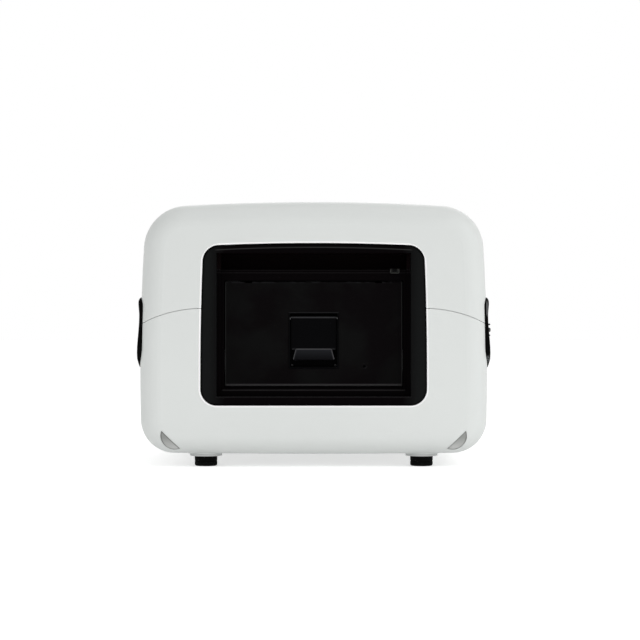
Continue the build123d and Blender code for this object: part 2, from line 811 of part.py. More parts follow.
def make_sensor():
    """A slotted light barrier on the header's lip, at the right end."""
    x1 = recess_half - rim_side - sensor_inset
    y1 = ledge_y - header_lip
    y0 = y1 - sensor_depth
    z0 = header_z1 - sensor_drop
    z1 = z0 + sensor_height
    body = block(x1 - sensor_width, x1, y0, y1, z0, z1)
    middle = x1 - sensor_width / 2
    return body - block(middle - sensor_width / 4, middle + sensor_width / 4,
                        y0 - fit, y0 + sensor_depth / 2, z0 + sensor_height / 3, z1)


def make_head():
    """The reader's carriage on its two rods, with the barrel that looks down."""
    side = head_width / 2
    deep = head_depth / 2
    z0 = rod_z - head_low
    head = block(-side, side, -deep, deep, z0, rod_z + head_high)
    head = fillet(head.edges().filter_by(Axis.Z), head_corner)
    head += rod_along_z(0, 0, barrel_radius, z0 - barrel_length, z0)
    head -= rod_along_z(0, 0, lens_radius + snug, z0 - barrel_length, z0 + head_low / 2)
    for y in (-rod_spacing / 2, rod_spacing / 2):
        head -= rod_along_x(y, rod_z, rod_radius + running, -side, side)
    return head - rod_along_x(0, screw_z, screw_radius + running, -side, side)


def make_lens():
    z0 = rod_z - head_low - barrel_length + lens_wall
    return rod_along_z(0, 0, lens_radius, z0, z0 + lens_wall)


def make_rods():
    outside = tunnel_half + sheet
    return [rod_along_x(y, rod_z, rod_radius, -outside, outside) for y in (-rod_spacing / 2, rod_spacing / 2)]


def make_lead_screw():
    return rod_along_x(0, screw_z, screw_radius, -tunnel_half - sheet + fit, tunnel_half + sheet - fit)


def make_motor():
    """The stepper on the tunnel's left wall, a square body with cut corners."""
    x1 = -tunnel_half - sheet
    shape = Pos(0, screw_z) * soft_box(motor_side, motor_side, motor_corner)
    return along_x(shape, x1 - motor_length, x1)


def make_base_plate():
    plate = along_z(soft_box(base_width, base_length, base_corner), base_z, base_z + base_wall)
    for x, y in boss_places():
        plate -= rod_along_z(x, y, screw_shank + fit, base_z, base_z + base_wall)
    return plate


def make_bracket():
    """The right sheet-metal leg between the base plate and the tunnel's floor."""
    z0 = base_z + base_wall
    z1 = floor_z - sheet
    x0 = tunnel_half - bracket_flange - bracket_wall
    z_shape = make_face(Polyline(
        (x0, z0), (x0 + bracket_flange, z0), (x0 + bracket_flange, z0 + bracket_wall),
        (x0 + bracket_wall, z0 + bracket_wall), (x0 + bracket_wall, z1 - bracket_wall),
        (x0 + bracket_flange, z1 - bracket_wall), (x0 + bracket_flange, z1), (x0, z1), (x0, z0)))
    y0 = frame_back + 2 * wall
    return along_y(z_shape, y0, y0 + bracket_length)


def board_corners():
    x = board_width / 2 - 2 * standoff_radius
    y = board_length / 2 - 2 * standoff_radius
    return [(sx * x, sy * y) for sx in (-1, 1) for sy in (-1, 1)]


def make_board():
    """The main board with its larger chips and connectors."""
    z0 = base_z + base_wall + standoff_height
    z1 = z0 + board_wall
    board = along_z(Rectangle(board_width, board_length), z0, z1)
    chips = [(0, processor_side)] + [(side * 2 * chip_side, chip_side) for side in (-1, 1)]
    for x, size in chips:
        board += block(x - size / 2, x + size / 2, -size / 2, size / 2, z1, z1 + chip_height)
    plug_y = board_length / 2 - 2 * plug_depth
    for k in range(plug_count):
        x = (k - (plug_count - 1) / 2) * (plug_length + plug_depth)
        board += block(x - plug_length / 2, x + plug_length / 2, plug_y, plug_y + plug_depth,
                       z1, z1 + plug_height)
    for x, y in board_corners():
        board -= rod_along_z(x, y, screw_shank, z0, z1)
    return board


def make_standoffs():
    z0 = base_z + base_wall
    return [rod_along_z(x, y, standoff_radius, z0, z0 + standoff_height) for x, y in board_corners()]


def make_supply():
    """The power supply in its steel case, beside the tunnel."""
    x0 = -half + grip_well + wall + supply_grip_gap
    x1 = -tunnel_half - sheet - supply_tunnel_gap
    z0 = base_z + base_wall
    y1 = base_length / 2 - 2 * wall
    return block(x0, x1, y1 - supply_length, y1, z0, z0 + supply_height)


def make_rear_panel():
    """The rear plate, with the vents and the cut-outs for what it carries."""
    panel = along_y(rear_opening(rear_overlap), rear_y, panel_face)
    for x, z in panel_screw_places():
        panel -= rod_along_y(x, z, screw_shank + snug, rear_y, panel_face)
    panel -= rod_along_y(fan_x, fan_z, fan_bore, rear_y, panel_face)
    for k in range(vent_rows):
        z = fan_z + (k - (vent_rows - 1) / 2) * vent_pitch
        panel -= along_y(Pos(vent_x, z) * SlotOverall(vent_length, vent_width), rear_y, panel_face)
    for x, width, height in rear_cutouts():
        panel -= block(x - width / 2 - fit / 2, x + width / 2 + fit / 2, rear_y, panel_face,
                       port_z - height / 2 - fit / 2, port_z + height / 2 + fit / 2)
    return panel


def rear_cutouts():
    return ((inlet_x, inlet_width, inlet_height), (switch_x, switch_width, switch_height),
            (ports_x, ports_width, ports_height))


def flanged_box(x, width, height, depth):
    """A body through the rear panel with a flange on its outer face."""
    body = block(x - width / 2, x + width / 2, panel_face - depth, panel_face,
                 port_z - height / 2, port_z + height / 2)
    rim = Pos(x, port_z) * soft_box(width + 2 * flange_border, height + 2 * flange_border, flange_corner)
    return body + along_y(rim, panel_face, panel_face + flange_wall)


def make_inlet():
    """The mains inlet with its three blades."""
    face = panel_face + flange_wall
    inlet = flanged_box(inlet_x, inlet_width, inlet_height, inlet_depth)
    w = inlet_width / 2 - inlet_wall
    h = inlet_height / 2 - inlet_wall
    cut = h / 2
    mouth = make_face(Polyline(
        (-w, -h), (w, -h), (w, h - cut), (w - cut, h), (-w + cut, h), (-w, h - cut), (-w, -h)))
    depth = inlet_depth - inlet_wall
    inlet -= along_y(Pos(inlet_x, port_z) * mouth, face - depth, face)
    blade_y = face - depth
    low_z = port_z - h / 4
    for x, z in ((inlet_x - w / 2, low_z), (inlet_x, port_z + h / 4), (inlet_x + w / 2, low_z)):
        inlet += block(x - inlet_pin_width / 2, x + inlet_pin_width / 2, blade_y, blade_y + inlet_pin_length,
                       z - inlet_pin_height / 2, z + inlet_pin_height / 2)
    return inlet


def make_switch_frame():
    face = panel_face + flange_wall
    frame = flanged_box(switch_x, switch_width, switch_height, switch_depth)
    w = switch_width / 2 - inlet_wall
    h = switch_height / 2 - inlet_wall
    frame -= block(switch_x - w, switch_x + w, face - switch_depth + inlet_wall, face, port_z - h, port_z + h)
    reach = w + rocker_pivot
    return frame - rod_along_x(rocker_y, port_z, rocker_pivot + running, switch_x - reach, switch_x + reach)


def make_rocker():
    """The rocker: a shallow V of two faces on a short axle, with its lower half pressed."""
    w = switch_width / 2 - inlet_wall - fit
    h = switch_height / 2 - inlet_wall - 2 * fit
    face = rocker_pivot
    sag = h * math.tan(math.radians(rocker_angle)) / 2
    shape = make_face(Polyline(
        (-rocker_depth, 0), (-rocker_depth / 2, h), (face, h), (face - sag, 0), (face, -h),
        (-rocker_depth / 2, -h), (-rocker_depth, 0)))
    rocker = along_x(shape, -w, w)
    reach = w + fit + rocker_pivot - running
    rocker += rod_along_x(0, 0, rocker_pivot, -reach, reach)
    return Pos(switch_x, rocker_y, port_z) * Rot(rocker_angle, 0, 0) * rocker


def make_ports():
    """A block with a serial data socket and a network socket."""
    face = panel_face + flange_wall
    ports = flanged_box(ports_x, ports_width, ports_height, ports_depth)
    for side in (-1, 1):
        x = ports_x + side * ports_width / 4
        ports -= block(x - port_socket / 2, x + port_socket / 2, face - port_socket_depth, face,
                       port_z - port_socket / 2, port_z + port_socket / 2)
    return ports


def make_fan_frame():
    y1 = rear_y
    y0 = y1 - fan_thick
    frame = along_y(Pos(fan_x, fan_z) * soft_box(fan_side, fan_side, fan_corner), y0, y1)
    frame -= rod_along_y(fan_x, fan_z, fan_bore, y0, y1)
    # Struts at the inner side carry the motor's bearing disc.
    strut_y = y0 + fan_strut_wall
    disc = rod_along_y(fan_x, fan_z, fan_hub, y0, strut_y)
    length = fan_bore - fan_hub + 2 * fan_strut_wall
    for k in range(fan_struts):
        arm = along_y(Pos((fan_hub + fan_bore) / 2, 0) * Rectangle(length, fan_strut_width), y0, strut_y)
        disc += Pos(fan_x, 0, fan_z) * Rot(0, 90 + 360 / fan_struts * k, 0) * arm
    frame += disc
    return frame + rod_along_y(fan_x, fan_z, fan_axle, strut_y, y1 - fan_axle_short)


def make_fan_rotor():
    """A hub with pitched blades."""
    y1 = rear_y - fan_hub_short
    y0 = rear_y - fan_thick + fan_strut_wall + fit
    rotor = rod_along_y(fan_x, fan_z, fan_hub, y0, y1)
    reach = fan_bore - fan_tip_gap
    middle = (y0 + y1) / 2
    length = reach - fan_hub + blade_root
    blade = Rot(blade_pitch, 0, 0) * Box(length, blade_chord, blade_wall)
    blade = Pos((reach + fan_hub) / 2 - blade_root, 0, 0) * blade
    blades = [Pos(fan_x, middle, fan_z) * Rot(0, 360 / fan_blades * k, 0) * blade for k in range(fan_blades)]
    limit = rod_along_y(fan_x, fan_z, reach, y0, y1)
    for item in blades:
        rotor += item & limit
    return rotor - rod_along_y(fan_x, fan_z, fan_axle + running, y0, rear_y - fan_axle_short + fit)


def make_fan_guard():
    """Concentric rings on two crossing bars, on the panel's outer face."""
    y0 = panel_face
    y1 = panel_face + guard_wire
    step = (fan_bore + guard_wire) / guard_rings
    guard = None
    for k in range(1, guard_rings + 1):
        radius = k * step
        ring = along_y(Pos(fan_x, fan_z) * (Circle(radius + guard_wire) - Circle(radius)), y0, y1)
        guard = ring if guard is None else guard + ring
    reach = guard_rings * step + guard_wire / 2
    for angle in (45, -45):
        guard += along_y(Pos(fan_x, fan_z) * Rot(0, 0, angle) * Rectangle(2 * reach, 2 * guard_wire), y0, y1)
    return guard


def make_grip():
    """The right grip: a swelling rim round a deep finger well, with a flange inside."""
    z0 = bottom + grip_low
    z1 = bottom + grip_high
    x0 = half - grip_well
    high = z1 - z0
    # The rim seen from the front: thin above, drawn in below that, fullest near the bottom.
    edge = Spline([
        (half + grip_proud_top / 2, z1), (half + grip_proud_top, z1 - grip_crest * high),
        (half + grip_proud_waist, z1 - grip_waist * high), (half + grip_proud_low, z0 + grip_swell * high),
        (half + grip_proud_low / 2, z0)])
    profile = make_face([edge, Polyline(edge @ 1, (x0, z0), (x0, z1), edge @ 0)])
    y0 = front + grip_front
    body = along_x(grip_outline(0), x0 - wall, half + 2 * grip_proud_low)
    body &= along_y(profile, y0 - wall, y0 + grip_length + wall)
    well = along_x(grip_outline(-grip_rim), x0 + grip_wall, half + 2 * grip_proud_low)
    inside = along_x(grip_outline(-grip_rim + grip_wall), x0 - wall, half + 2 * grip_proud_low)
    outer_rim = along_x(grip_outline(wall), half - 3 * wall, half + 2 * grip_proud_low)
    body &= inside + outer_rim
    return body - well


def make_studs(grow=0.0):
    """The retaining screw on the right grip's front rim, with a pip above and below."""
    y = front + grip_front + grip_rim / 2
    z = bottom + stud_height
    x0 = half - wall
    head = rod_along_x(y, z, stud_radius + grow, x0, half + grip_proud_low)
    pip_end = half + grip_proud_low - stud_step
    pips = [rod_along_x(y, z + side * pip_pitch, pip_radius + grow, x0, pip_end) for side in (-1, 1)]
    return [head] + pips


def make_insets():
    left = along_y(inset_outline(0), front - wall, front + front_round)
    left &= case_body(inset_sunk)
    left -= case_body(inset_pocket - inset_back_gap)
    return [left, other_side(left)]


def make_feet():
    """Rubber feet: a turned profile with a sunk hole for the screw."""
    profile = make_face(Polyline(
        (screw_head + fit, 0), (foot_radius - foot_edge, 0), (foot_radius, foot_edge),
        (foot_radius, foot_height), (screw_shank + fit, foot_height), (screw_shank + fit, foot_height / 2),
        (screw_head + fit, foot_height / 2), (screw_head + fit, 0)))
    foot = revolve(Plane.XZ * profile, axis=Axis.Z)
    return [Pos(x, y, 0) * foot for x, y in foot_places()]


def make_collars():
    ring = along_z(Circle(collar_radius) - Circle(screw_shank + fit), foot_height, foot_height + collar_wall)
    return [Pos(x, y, 0) * ring for x, y in foot_places()]


def make_foot_screws():
    z0 = foot_height / 2
    head = rod_along_z(0, 0, screw_head, z0 - screw_head_wall, z0)
    screw = head + rod_along_z(0, 0, screw_shank, z0, bottom + 2 * wall)
    return [Pos(x, y, 0) * screw for x, y in foot_places()]


def solids_of(piece):
    items = piece if isinstance(piece, (list, tuple)) else [piece]
    return [solid for item in items for solid in item.solids()]


def write(name, piece):
    solids = solids_of(piece)
    shape = solids[0] if len(solids) == 1 else Compound(children=solids)
    export_step(shape, os.path.join("parts", name + ".step"))


def main():
    os.makedirs("parts", exist_ok=True)
    upper, lower = make_shells()
    runner = make_runner()
    slide = make_slide()
    bracket = make_bracket()
    grip = make_grip()
    parts = {
        "upper_shell": upper,
        "lower_shell": lower,
        "rear_panel": make_rear_panel(),
        "front_bezel": make_bezel(),
        "bay_liner": make_liner(),
        "drawer_tunnel": make_tunnel(),
        "drawer_front": make_drawer_front(),
        "drawer_tray": make_tray(),
        "cartridge_rack": make_rack(),
        "right_runner": runner,
        "left_runner": other_side(runner),
        "right_slide": slide,
        "left_slide": other_side(slide),
        "drawer_screws": make_drawer_screws(),
        "latch_cup": make_latch_cup(),
        "latch_paddle": make_paddle(),
        "latch_pin": make_pin(),
        "latch_bolt": make_bolt(),
        "latch_spring": make_spring(),
        "bolt_strap": make_bolt_strap(),
        "latch_rivets": make_latch_rivets(),
        "strike_plate": make_strike(),
        "drawer_sensor": make_sensor(),
        "reader_head": make_head(),
        "reader_lens": make_lens(),
        "guide_rods": make_rods(),
        "lead_screw": make_lead_screw(),
        "reader_motor": make_motor(),
        "base_plate": make_base_plate(),
        "right_bay_bracket": bracket,
        "left_bay_bracket": other_side(bracket),
        "main_board": make_board(),
        "board_standoffs": make_standoffs(),
        "power_supply": make_supply(),
        "fan_frame": make_fan_frame(),
        "fan_rotor": make_fan_rotor(),
        "fan_guard": make_fan_guard(),
        "mains_inlet": make_inlet(),
        "switch_frame": make_switch_frame(),
        "power_rocker": make_rocker(),
        "data_ports": make_ports(),
        "right_grip": grip - make_studs(snug),
        "left_grip": other_side(grip),
        "grip_studs": make_studs(),
        "corner_insets": make_insets(),
        "feet": make_feet(),
        "foot_collars": make_collars(),
        "foot_screws": make_foot_screws(),
        "panel_screws": make_panel_screws(),
    }
    for name, piece in parts.items():
        write(name, piece)


main()
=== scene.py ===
# %% [markdown]
# # A bench-top immunoassay analyzer
#
# The object is a small laboratory instrument: a white casing moulded in two shells, a black bezel round
# a stepped bay, and a matte black drawer with a flush pull. The solids come from CAD and stay where they
# are. This lesson dresses them: it gives each one a finish made of shader nodes, and adds the pieces that
# need finer forms than the solids have, such as a coiled spring, fan blades and screw heads.
#
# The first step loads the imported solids. Each one is an object at the origin with its place in its mesh.

# %% Load the solids
import json

import bmesh
import bpy
import numpy as np
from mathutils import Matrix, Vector


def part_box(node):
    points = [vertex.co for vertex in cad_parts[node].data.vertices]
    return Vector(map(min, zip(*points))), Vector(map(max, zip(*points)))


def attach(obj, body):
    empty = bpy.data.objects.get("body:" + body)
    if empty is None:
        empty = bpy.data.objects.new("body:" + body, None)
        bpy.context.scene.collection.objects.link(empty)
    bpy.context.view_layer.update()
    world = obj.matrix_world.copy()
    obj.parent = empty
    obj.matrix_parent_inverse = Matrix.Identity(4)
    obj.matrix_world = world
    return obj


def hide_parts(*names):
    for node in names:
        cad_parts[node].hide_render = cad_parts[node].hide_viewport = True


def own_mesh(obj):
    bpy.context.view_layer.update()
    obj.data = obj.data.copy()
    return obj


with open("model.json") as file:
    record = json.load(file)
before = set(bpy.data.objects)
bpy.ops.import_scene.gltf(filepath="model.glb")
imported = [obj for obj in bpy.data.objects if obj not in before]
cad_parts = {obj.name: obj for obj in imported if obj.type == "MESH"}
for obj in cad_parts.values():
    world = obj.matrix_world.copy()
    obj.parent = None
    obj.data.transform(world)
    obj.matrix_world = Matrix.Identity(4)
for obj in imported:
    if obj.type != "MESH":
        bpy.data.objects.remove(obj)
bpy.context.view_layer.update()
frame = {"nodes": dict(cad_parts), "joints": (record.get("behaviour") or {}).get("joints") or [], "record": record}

nodes = frame["nodes"]

# %% [markdown]
# ## Camera
#
# The photograph was taken level with the middle of the casing, from about two metres, so the sides stay
# nearly straight and neither the top nor the floor shows much. At the drawer's front one pixel of the
# 640 pixel picture is one millimetre, which fixes the lens: half the picture is 320 mm wide at 2000 mm.

# %% The camera
PICTURE = 640
PIXEL = 0.001
DISTANCE = 2.0
DRAWER_PLANE = -0.130
CAMERA_SIDE, CAMERA_HEIGHT = 0.0063, 0.1466
camera_data = bpy.data.cameras.new("camera")
camera_data.sensor_width = 36.0
camera_data.lens = camera_data.sensor_width * DISTANCE / (PICTURE * PIXEL)
camera_data.clip_end = 50.0
camera = bpy.data.objects.new("camera", camera_data)
camera.location = (CAMERA_SIDE, DRAWER_PLANE - DISTANCE, CAMERA_HEIGHT)
camera.rotation_euler = (np.pi / 2, 0.0, 0.0)
bpy.context.scene.collection.objects.link(camera)
bpy.context.scene.camera = camera
bpy.context.scene.view_settings.view_transform = "Standard"
print("lens", round(camera_data.lens, 1), "mm")

# %% [markdown]
# ## Arithmetic on shader sockets
#
# A procedural finish is mostly arithmetic on numbers that change over the surface. Wrapping a socket in a
# small class lets Python's own signs add the Math nodes, so a wear mask can be written as `1 - mask`.
# Colours don't survive a Math node, so they go through Mix, and vectors through Vector Math. Every other
# node comes from one method, `add`, which first makes the node's settings and then joins its sockets.

# %% Sockets with signs
class Field:
    """A number, colour or vector that changes over a surface: one output socket of a finish."""

    def __init__(self, finish, socket):
        self.finish = finish
        self.socket = socket

    def _math(self, operation, first, second=None):
        values = {0: first} if second is None else {0: first, 1: second}
        return self.finish.add("ShaderNodeMath", {"operation": operation}, values)

    def __add__(self, other):
        return self._math("ADD", self, other)

    __radd__ = __add__

    def __mul__(self, other):
        return self._math("MULTIPLY", self, other)

    __rmul__ = __mul__

    def __sub__(self, other):
        return self._math("SUBTRACT", self, other)

    def __rsub__(self, other):
        return self._math("SUBTRACT", other, self)

    def __truediv__(self, other):
        return self._math("DIVIDE", self, other)

    def __pow__(self, other):
        return self._math("POWER", self, other)

    def most(self, other):
        return self._math("MAXIMUM", self, other)

    def size(self):
        return self._math("ABSOLUTE", self)

    def near(self, place, width):
        """1 at a place, falling to 0 at width from it."""
        return (1 - (self - place).size() / width).most(0.0)


class Finish:
    """One material: a Principled shader and the nodes that feed it."""

    def __init__(self, name, colour, roughness, metallic=0.0, **shader):
        self.material = bpy.data.materials.new(name)
        self.material.use_nodes = True
        self.tree = self.material.node_tree
        self.tree.nodes.clear()
        self.output = self.tree.nodes.new("ShaderNodeOutputMaterial")
        self.shader = self.tree.nodes.new("ShaderNodeBsdfPrincipled")
        self.tree.links.new(self.shader.outputs["BSDF"], self.output.inputs["Surface"])
        fixed = {"Base Color": (*colour, 1.0), "Roughness": roughness, "Metallic": metallic, **shader}
        for socket, value in fixed.items():
            self.shader.inputs[socket].default_value = value

    def add(self, kind, settings=None, values=None, out=0):
        """Adds a node: its settings first, then the values or links of its sockets."""
        node = self.tree.nodes.new(kind)
        for key, value in (settings or {}).items():
            setattr(node, key, value)
        for key, value in (values or {}).items():
            socket = node.inputs[key] if isinstance(key, int) or key in node.inputs else self.by_id(node, key)
            if isinstance(value, Field):
                self.tree.links.new(value.socket, socket)
            else:
                socket.default_value = value
        return Field(self, node.outputs[out])

    def by_id(self, node, name):
        return next(socket for socket in node.inputs if socket.identifier == name)

    def place(self):
        """The point's place on the object, in metres."""
        return self.add("ShaderNodeTexCoord", out="Object")

    def parts(self, vector):
        """A vector's three numbers."""
        node = self.add("ShaderNodeSeparateXYZ", values={"Vector": vector}).socket.node
        return [Field(self, node.outputs[k]) for k in range(3)]

    def stretch(self, vector, scale):
        """The vector times a vector, so that a pattern is finer along one axis."""
        return self.add("ShaderNodeVectorMath", {"operation": "MULTIPLY"}, {0: vector, 1: scale})

    def noise(self, vector, scale, detail=2.0, rough=0.5):
        return self.add("ShaderNodeTexNoise", values={"Vector": vector, "Scale": scale, "Detail": detail,
                                                      "Roughness": rough})

    def remap(self, value, low, high, to_low=0.0, to_high=1.0):
        """Carries low..high to to_low..to_high, cut off at both ends."""
        return self.add("ShaderNodeMapRange", values={"Value": value, "From Min": low, "From Max": high,
                                                      "To Min": to_low, "To Max": to_high})

    def mix(self, share, first, second):
        """A colour between two colours."""
        first, second = (c if isinstance(c, Field) else (*c, 1.0) for c in (first, second))
        node = self.add("ShaderNodeMix", {"data_type": "RGBA"},
                        {"Factor_Float": share, "A_Color": first, "B_Color": second}).socket.node
        return Field(self, next(s for s in node.outputs if s.identifier == "Result_Color"))

    def set(self, socket, value):
        self.tree.links.new(value.socket, self.shader.inputs[socket])

    def over(self, mask, colour):
        """Lays a colour over the base colour where the mask is 1."""
        self.tint = self.mix(mask, self.tint, colour)
        self.set("Base Color", self.tint)

    def relief(self, height):
        """Gives the surface a bump; the height is in metres."""
        self.set("Normal", self.add("ShaderNodeBump", values={"Height": height, "Distance": 1.0}))


def srgb(*levels):
    """A colour from its display levels, 0 to 255, as the linear numbers that shaders use."""
    share = np.array(levels) / 255
    return tuple(float(v) for v in np.where(share < 0.04045, share / 12.92, ((share + 0.055) / 1.055) ** 2.4))


# %% [markdown]
# ## Moulded plastic
#
# An instrument's casing is moulded in a steel tool whose walls are spark eroded. That leaves a fine even
# grain, which makes the plastic satin. Close up the grain is a bump about a hundredth of a millimetre deep,
# and a few hundredths on rubber and on the corner insets. Handling leaves wider, faint changes in colour
# and gloss. One function makes all the moulded finishes from a colour, a roughness and the size and depth
# of the grain.

# %% Moulded finishes
GRAIN = 1 / 0.0006
COARSE_GRAIN = 1 / 0.0011


def moulded(name, colour, roughness, grain=GRAIN, depth=0.00001, cloudy=0.04, gloss=0.06, **shader):
    """Plastic with spark-eroded grain: a fine bump, cloudy colour and uneven gloss."""
    f = Finish(name, colour, roughness, **shader)
    where = f.place()
    wide = f.noise(where, 14.0, 3.0)
    fine = f.noise(where, grain, 2.0, 0.6)
    specks = f.noise(where, 320.0, 1.0)
    tone = (wide - 0.5) * cloudy + (specks - 0.5) * (cloudy / 2) + 0.5
    darker = tuple(c * (1 - cloudy) for c in colour)
    lighter = tuple(min(1.0, c * (1 + cloudy)) for c in colour)
    f.tint = f.mix(f.remap(tone, 0.5 - cloudy / 2, 0.5 + cloudy / 2), darker, lighter)
    f.set("Base Color", f.tint)
    f.set("Roughness", roughness + (wide - 0.5) * gloss + (fine - 0.5) * (gloss / 2))
    f.relief(fine * depth)
    return f


def dull(level):
    """The shader's own level of gloss: black parts with fine grain hardly mirror the white room."""
    return {"Specular IOR Level": level}


finishes = {
    "white_casing": moulded("white_casing", srgb(220, 223, 221), 0.42, depth=0.000006, cloudy=0.012),
    "bezel_plastic": moulded("bezel_plastic", srgb(6, 4, 5), 0.42, cloudy=0.15, **dull(0.01)),
    "bay_plastic": moulded("bay_plastic", srgb(5, 3, 4), 0.55, cloudy=0.15, **dull(0.015)),
    "drawer_plastic": moulded("drawer_plastic", srgb(7, 5, 6), 0.50, cloudy=0.3, **dull(0.02)),
    "latch_plastic": moulded("latch_plastic", srgb(5, 5, 6), 0.36, cloudy=0.10, **dull(0.015)),
    "rack_plastic": moulded("rack_plastic", srgb(150, 154, 156), 0.48, cloudy=0.03),
    "sensor_plastic": moulded("sensor_plastic", srgb(8, 8, 8), 0.45, **dull(0.03)),
    "socket_plastic": moulded("socket_plastic", srgb(24, 24, 25), 0.45),
    "rocker_plastic": moulded("rocker_plastic", srgb(26, 26, 27), 0.22),
    "fan_plastic": moulded("fan_plastic", srgb(22, 22, 24), 0.42),
    "stud_plastic": moulded("stud_plastic", srgb(30, 30, 31), 0.25),
    "collar_plastic": moulded("collar_plastic", srgb(207, 209, 208), 0.5, cloudy=0.02),
    "inset_grey": moulded("inset_grey", srgb(144, 146, 143), 0.5, COARSE_GRAIN, 0.00006, cloudy=0.12),
    "grip_rubber": moulded("grip_rubber", srgb(4, 4, 4), 0.36, depth=0.00002, **dull(0.02)),
    "foot_rubber": moulded("foot_rubber", srgb(8, 8, 8), 0.72, depth=0.00003, cloudy=0.15, **dull(0.05)),
}
print(len(finishes), "moulded finishes")

# %% [markdown]
# ## Painted light and shade on edges
#
# The bezel's broad sides get a painted reflection that makes them lighter than its top and bottom, its inner
# top and bottom edges get painted highlights, and a painted shadow line runs round its outline, at the gap to
# the casing. The casing's rim round the bezel gets a painted highlight, and the corner insets get painted
# shade: paler downwards inside a dark outline. Each mask comes from the point's own place, in metres: it is 1
# near a line such as the drawer's lower edge, and fades to 0 over the width named LINE beside it. Where a pair
# of numbers is named, the mask is 0 at the first and 1 at the second. Paint on an image texture could do the
# same, but a formula is sharp at any distance.

# %% Casing rim and bezel
BEZEL_HALF, BEZEL_WIDEST, SIDE_BOW = 0.112, 0.0887, 0.163
BEZEL_TOP, BEZEL_LOW, TOP_BOW = 0.2226, 0.062, 0.226
BEZEL_CORNER = 0.016


def from_bezel_outline(f):
    """Distance outwards from the bezel's outline: |max(h + r, 0), max(w + r, 0)| - r, in metres."""
    x, _, z = f.parts(f.place())
    above_widest = z - BEZEL_WIDEST
    h = x.size() + above_widest * above_widest * SIDE_BOW - BEZEL_HALF
    w = (z + x * x * TOP_BOW - BEZEL_TOP).most(BEZEL_LOW - z)
    h, w = (h + BEZEL_CORNER).most(0.0), (w + BEZEL_CORNER).most(0.0)
    return (h * h + w * w) ** 0.5 - BEZEL_CORNER


RIM_LIGHT, CASING_FRONT = (0.0021, 0.0015), (-0.147, -0.149)
casing = finishes["white_casing"]
_, y, _ = casing.parts(casing.place())
# Painted highlight: a bright band on the casing's rim round the bezel, where its rounded edge catches the light.
rim_light = casing.remap(from_bezel_outline(casing), *RIM_LIGHT) * casing.remap(y, *CASING_FRONT)
casing.over(rim_light, (1.0, 1.0, 1.0))

OUTLINE, HAIRLINE = 0.0022, 0.0007
SIDE_FACE = (0.088, 0.104)
ARCH, ARCH_BOW, ARCH_END = 0.2186, 0.277, (0.0985, 0.0955)
SILL, SILL_END = 0.0703, (0.0975, 0.0965)
bezel = finishes["bezel_plastic"]
x, _, z = bezel.parts(bezel.place())
# Painted reflection: the bezel's broad sides, which face the side lamps, are coloured lighter than its top and
# bottom.
bezel.over(bezel.remap(x.size(), *SIDE_FACE), srgb(22, 23, 23))
# Painted shadow: a black line round the bezel's outline, at the gap to the casing.
bezel.over(from_bezel_outline(bezel).near(0.0, OUTLINE), srgb(1, 1, 1))
# Painted highlights: a pale hairline along the bezel's inner top edge (the arch) and one along its inner bottom
# edge (the sill).
arch = (z + x * x * ARCH_BOW).near(ARCH, HAIRLINE) * bezel.remap(x.size(), *ARCH_END)
bezel.over(arch, srgb(52, 52, 52))
bezel.over(z.near(SILL, HAIRLINE) * bezel.remap(x.size(), *SILL_END), srgb(34, 33, 34))

# %% [markdown]
# ## Lines in the bay and on the drawer
#
# Light catches the header's two edges, the step under the drawer and the drawer's own edges. The solids'
# fillets there are too small to show it from two metres, so each is drawn as a thin paler line, a painted
# highlight. Noise breaks up the one at the drawer's top into patches, and the pinhole's rim gets a painted
# highlight ring, broken up the same way.

# %% Bay and drawer
POCKET = (0.1972, 0.1984)
HEADER_TOP, HEADER_LOW, HEADER_LINE, HEADER_SHARE = 0.1966, 0.1938, 0.0006, 0.45
STEP, STEP_LINE, STEP_END = 0.0766, 0.0008, (0.0920, 0.0905)
bay = finishes["bay_plastic"]
x, _, z = bay.parts(bay.place())
bay.over(bay.remap(z, *POCKET), srgb(14, 7, 8))
header = z.near(HEADER_TOP, HEADER_LINE).most(z.near(HEADER_LOW, HEADER_LINE)) * HEADER_SHARE
step = z.near(STEP, STEP_LINE) * bay.remap(x.size(), *STEP_END)
bay.over(header.most(step), srgb(46, 44, 45))

LOWER_EDGE, LOWER_LINE = 0.0815, 0.0016
TOP_EDGE, TOP_SHARE = (0.1832, 0.1840), 0.8
SIDE_EDGE, SIDE_LINE = 0.0881, 0.0008
PINHOLE_X, PINHOLE_Z, PINHOLE_RIM, PINHOLE_LINE = 0.0508, 0.1006, 0.0021, 0.0008
drawer = finishes["drawer_plastic"]
x, _, z = drawer.parts(drawer.place())
drawer.over(drawer.remap(drawer.noise(drawer.place(), 26.0, 3.0), 0.42, 0.62), srgb(12, 12, 12))
drawer.over(z.near(LOWER_EDGE, LOWER_LINE), srgb(70, 69, 70))
# Painted highlight along the drawer's top edge, broken up by noise into patches.
broken_up = drawer.remap(drawer.noise(drawer.place(), 160.0, 2.0), 0.45, 0.6)
drawer.over(drawer.remap(z, *TOP_EDGE) * broken_up * TOP_SHARE, srgb(30, 30, 31))
# Painted highlight: a paler ring round the pinhole's rim, broken up by the same noise.
pinhole = ((x - PINHOLE_X).size() ** 2 + (z - PINHOLE_Z).size() ** 2) ** 0.5
drawer.over(pinhole.near(PINHOLE_RIM, PINHOLE_LINE) * broken_up, srgb(34, 33, 34))
drawer.over(x.size().near(SIDE_EDGE, SIDE_LINE), srgb(36, 36, 36))
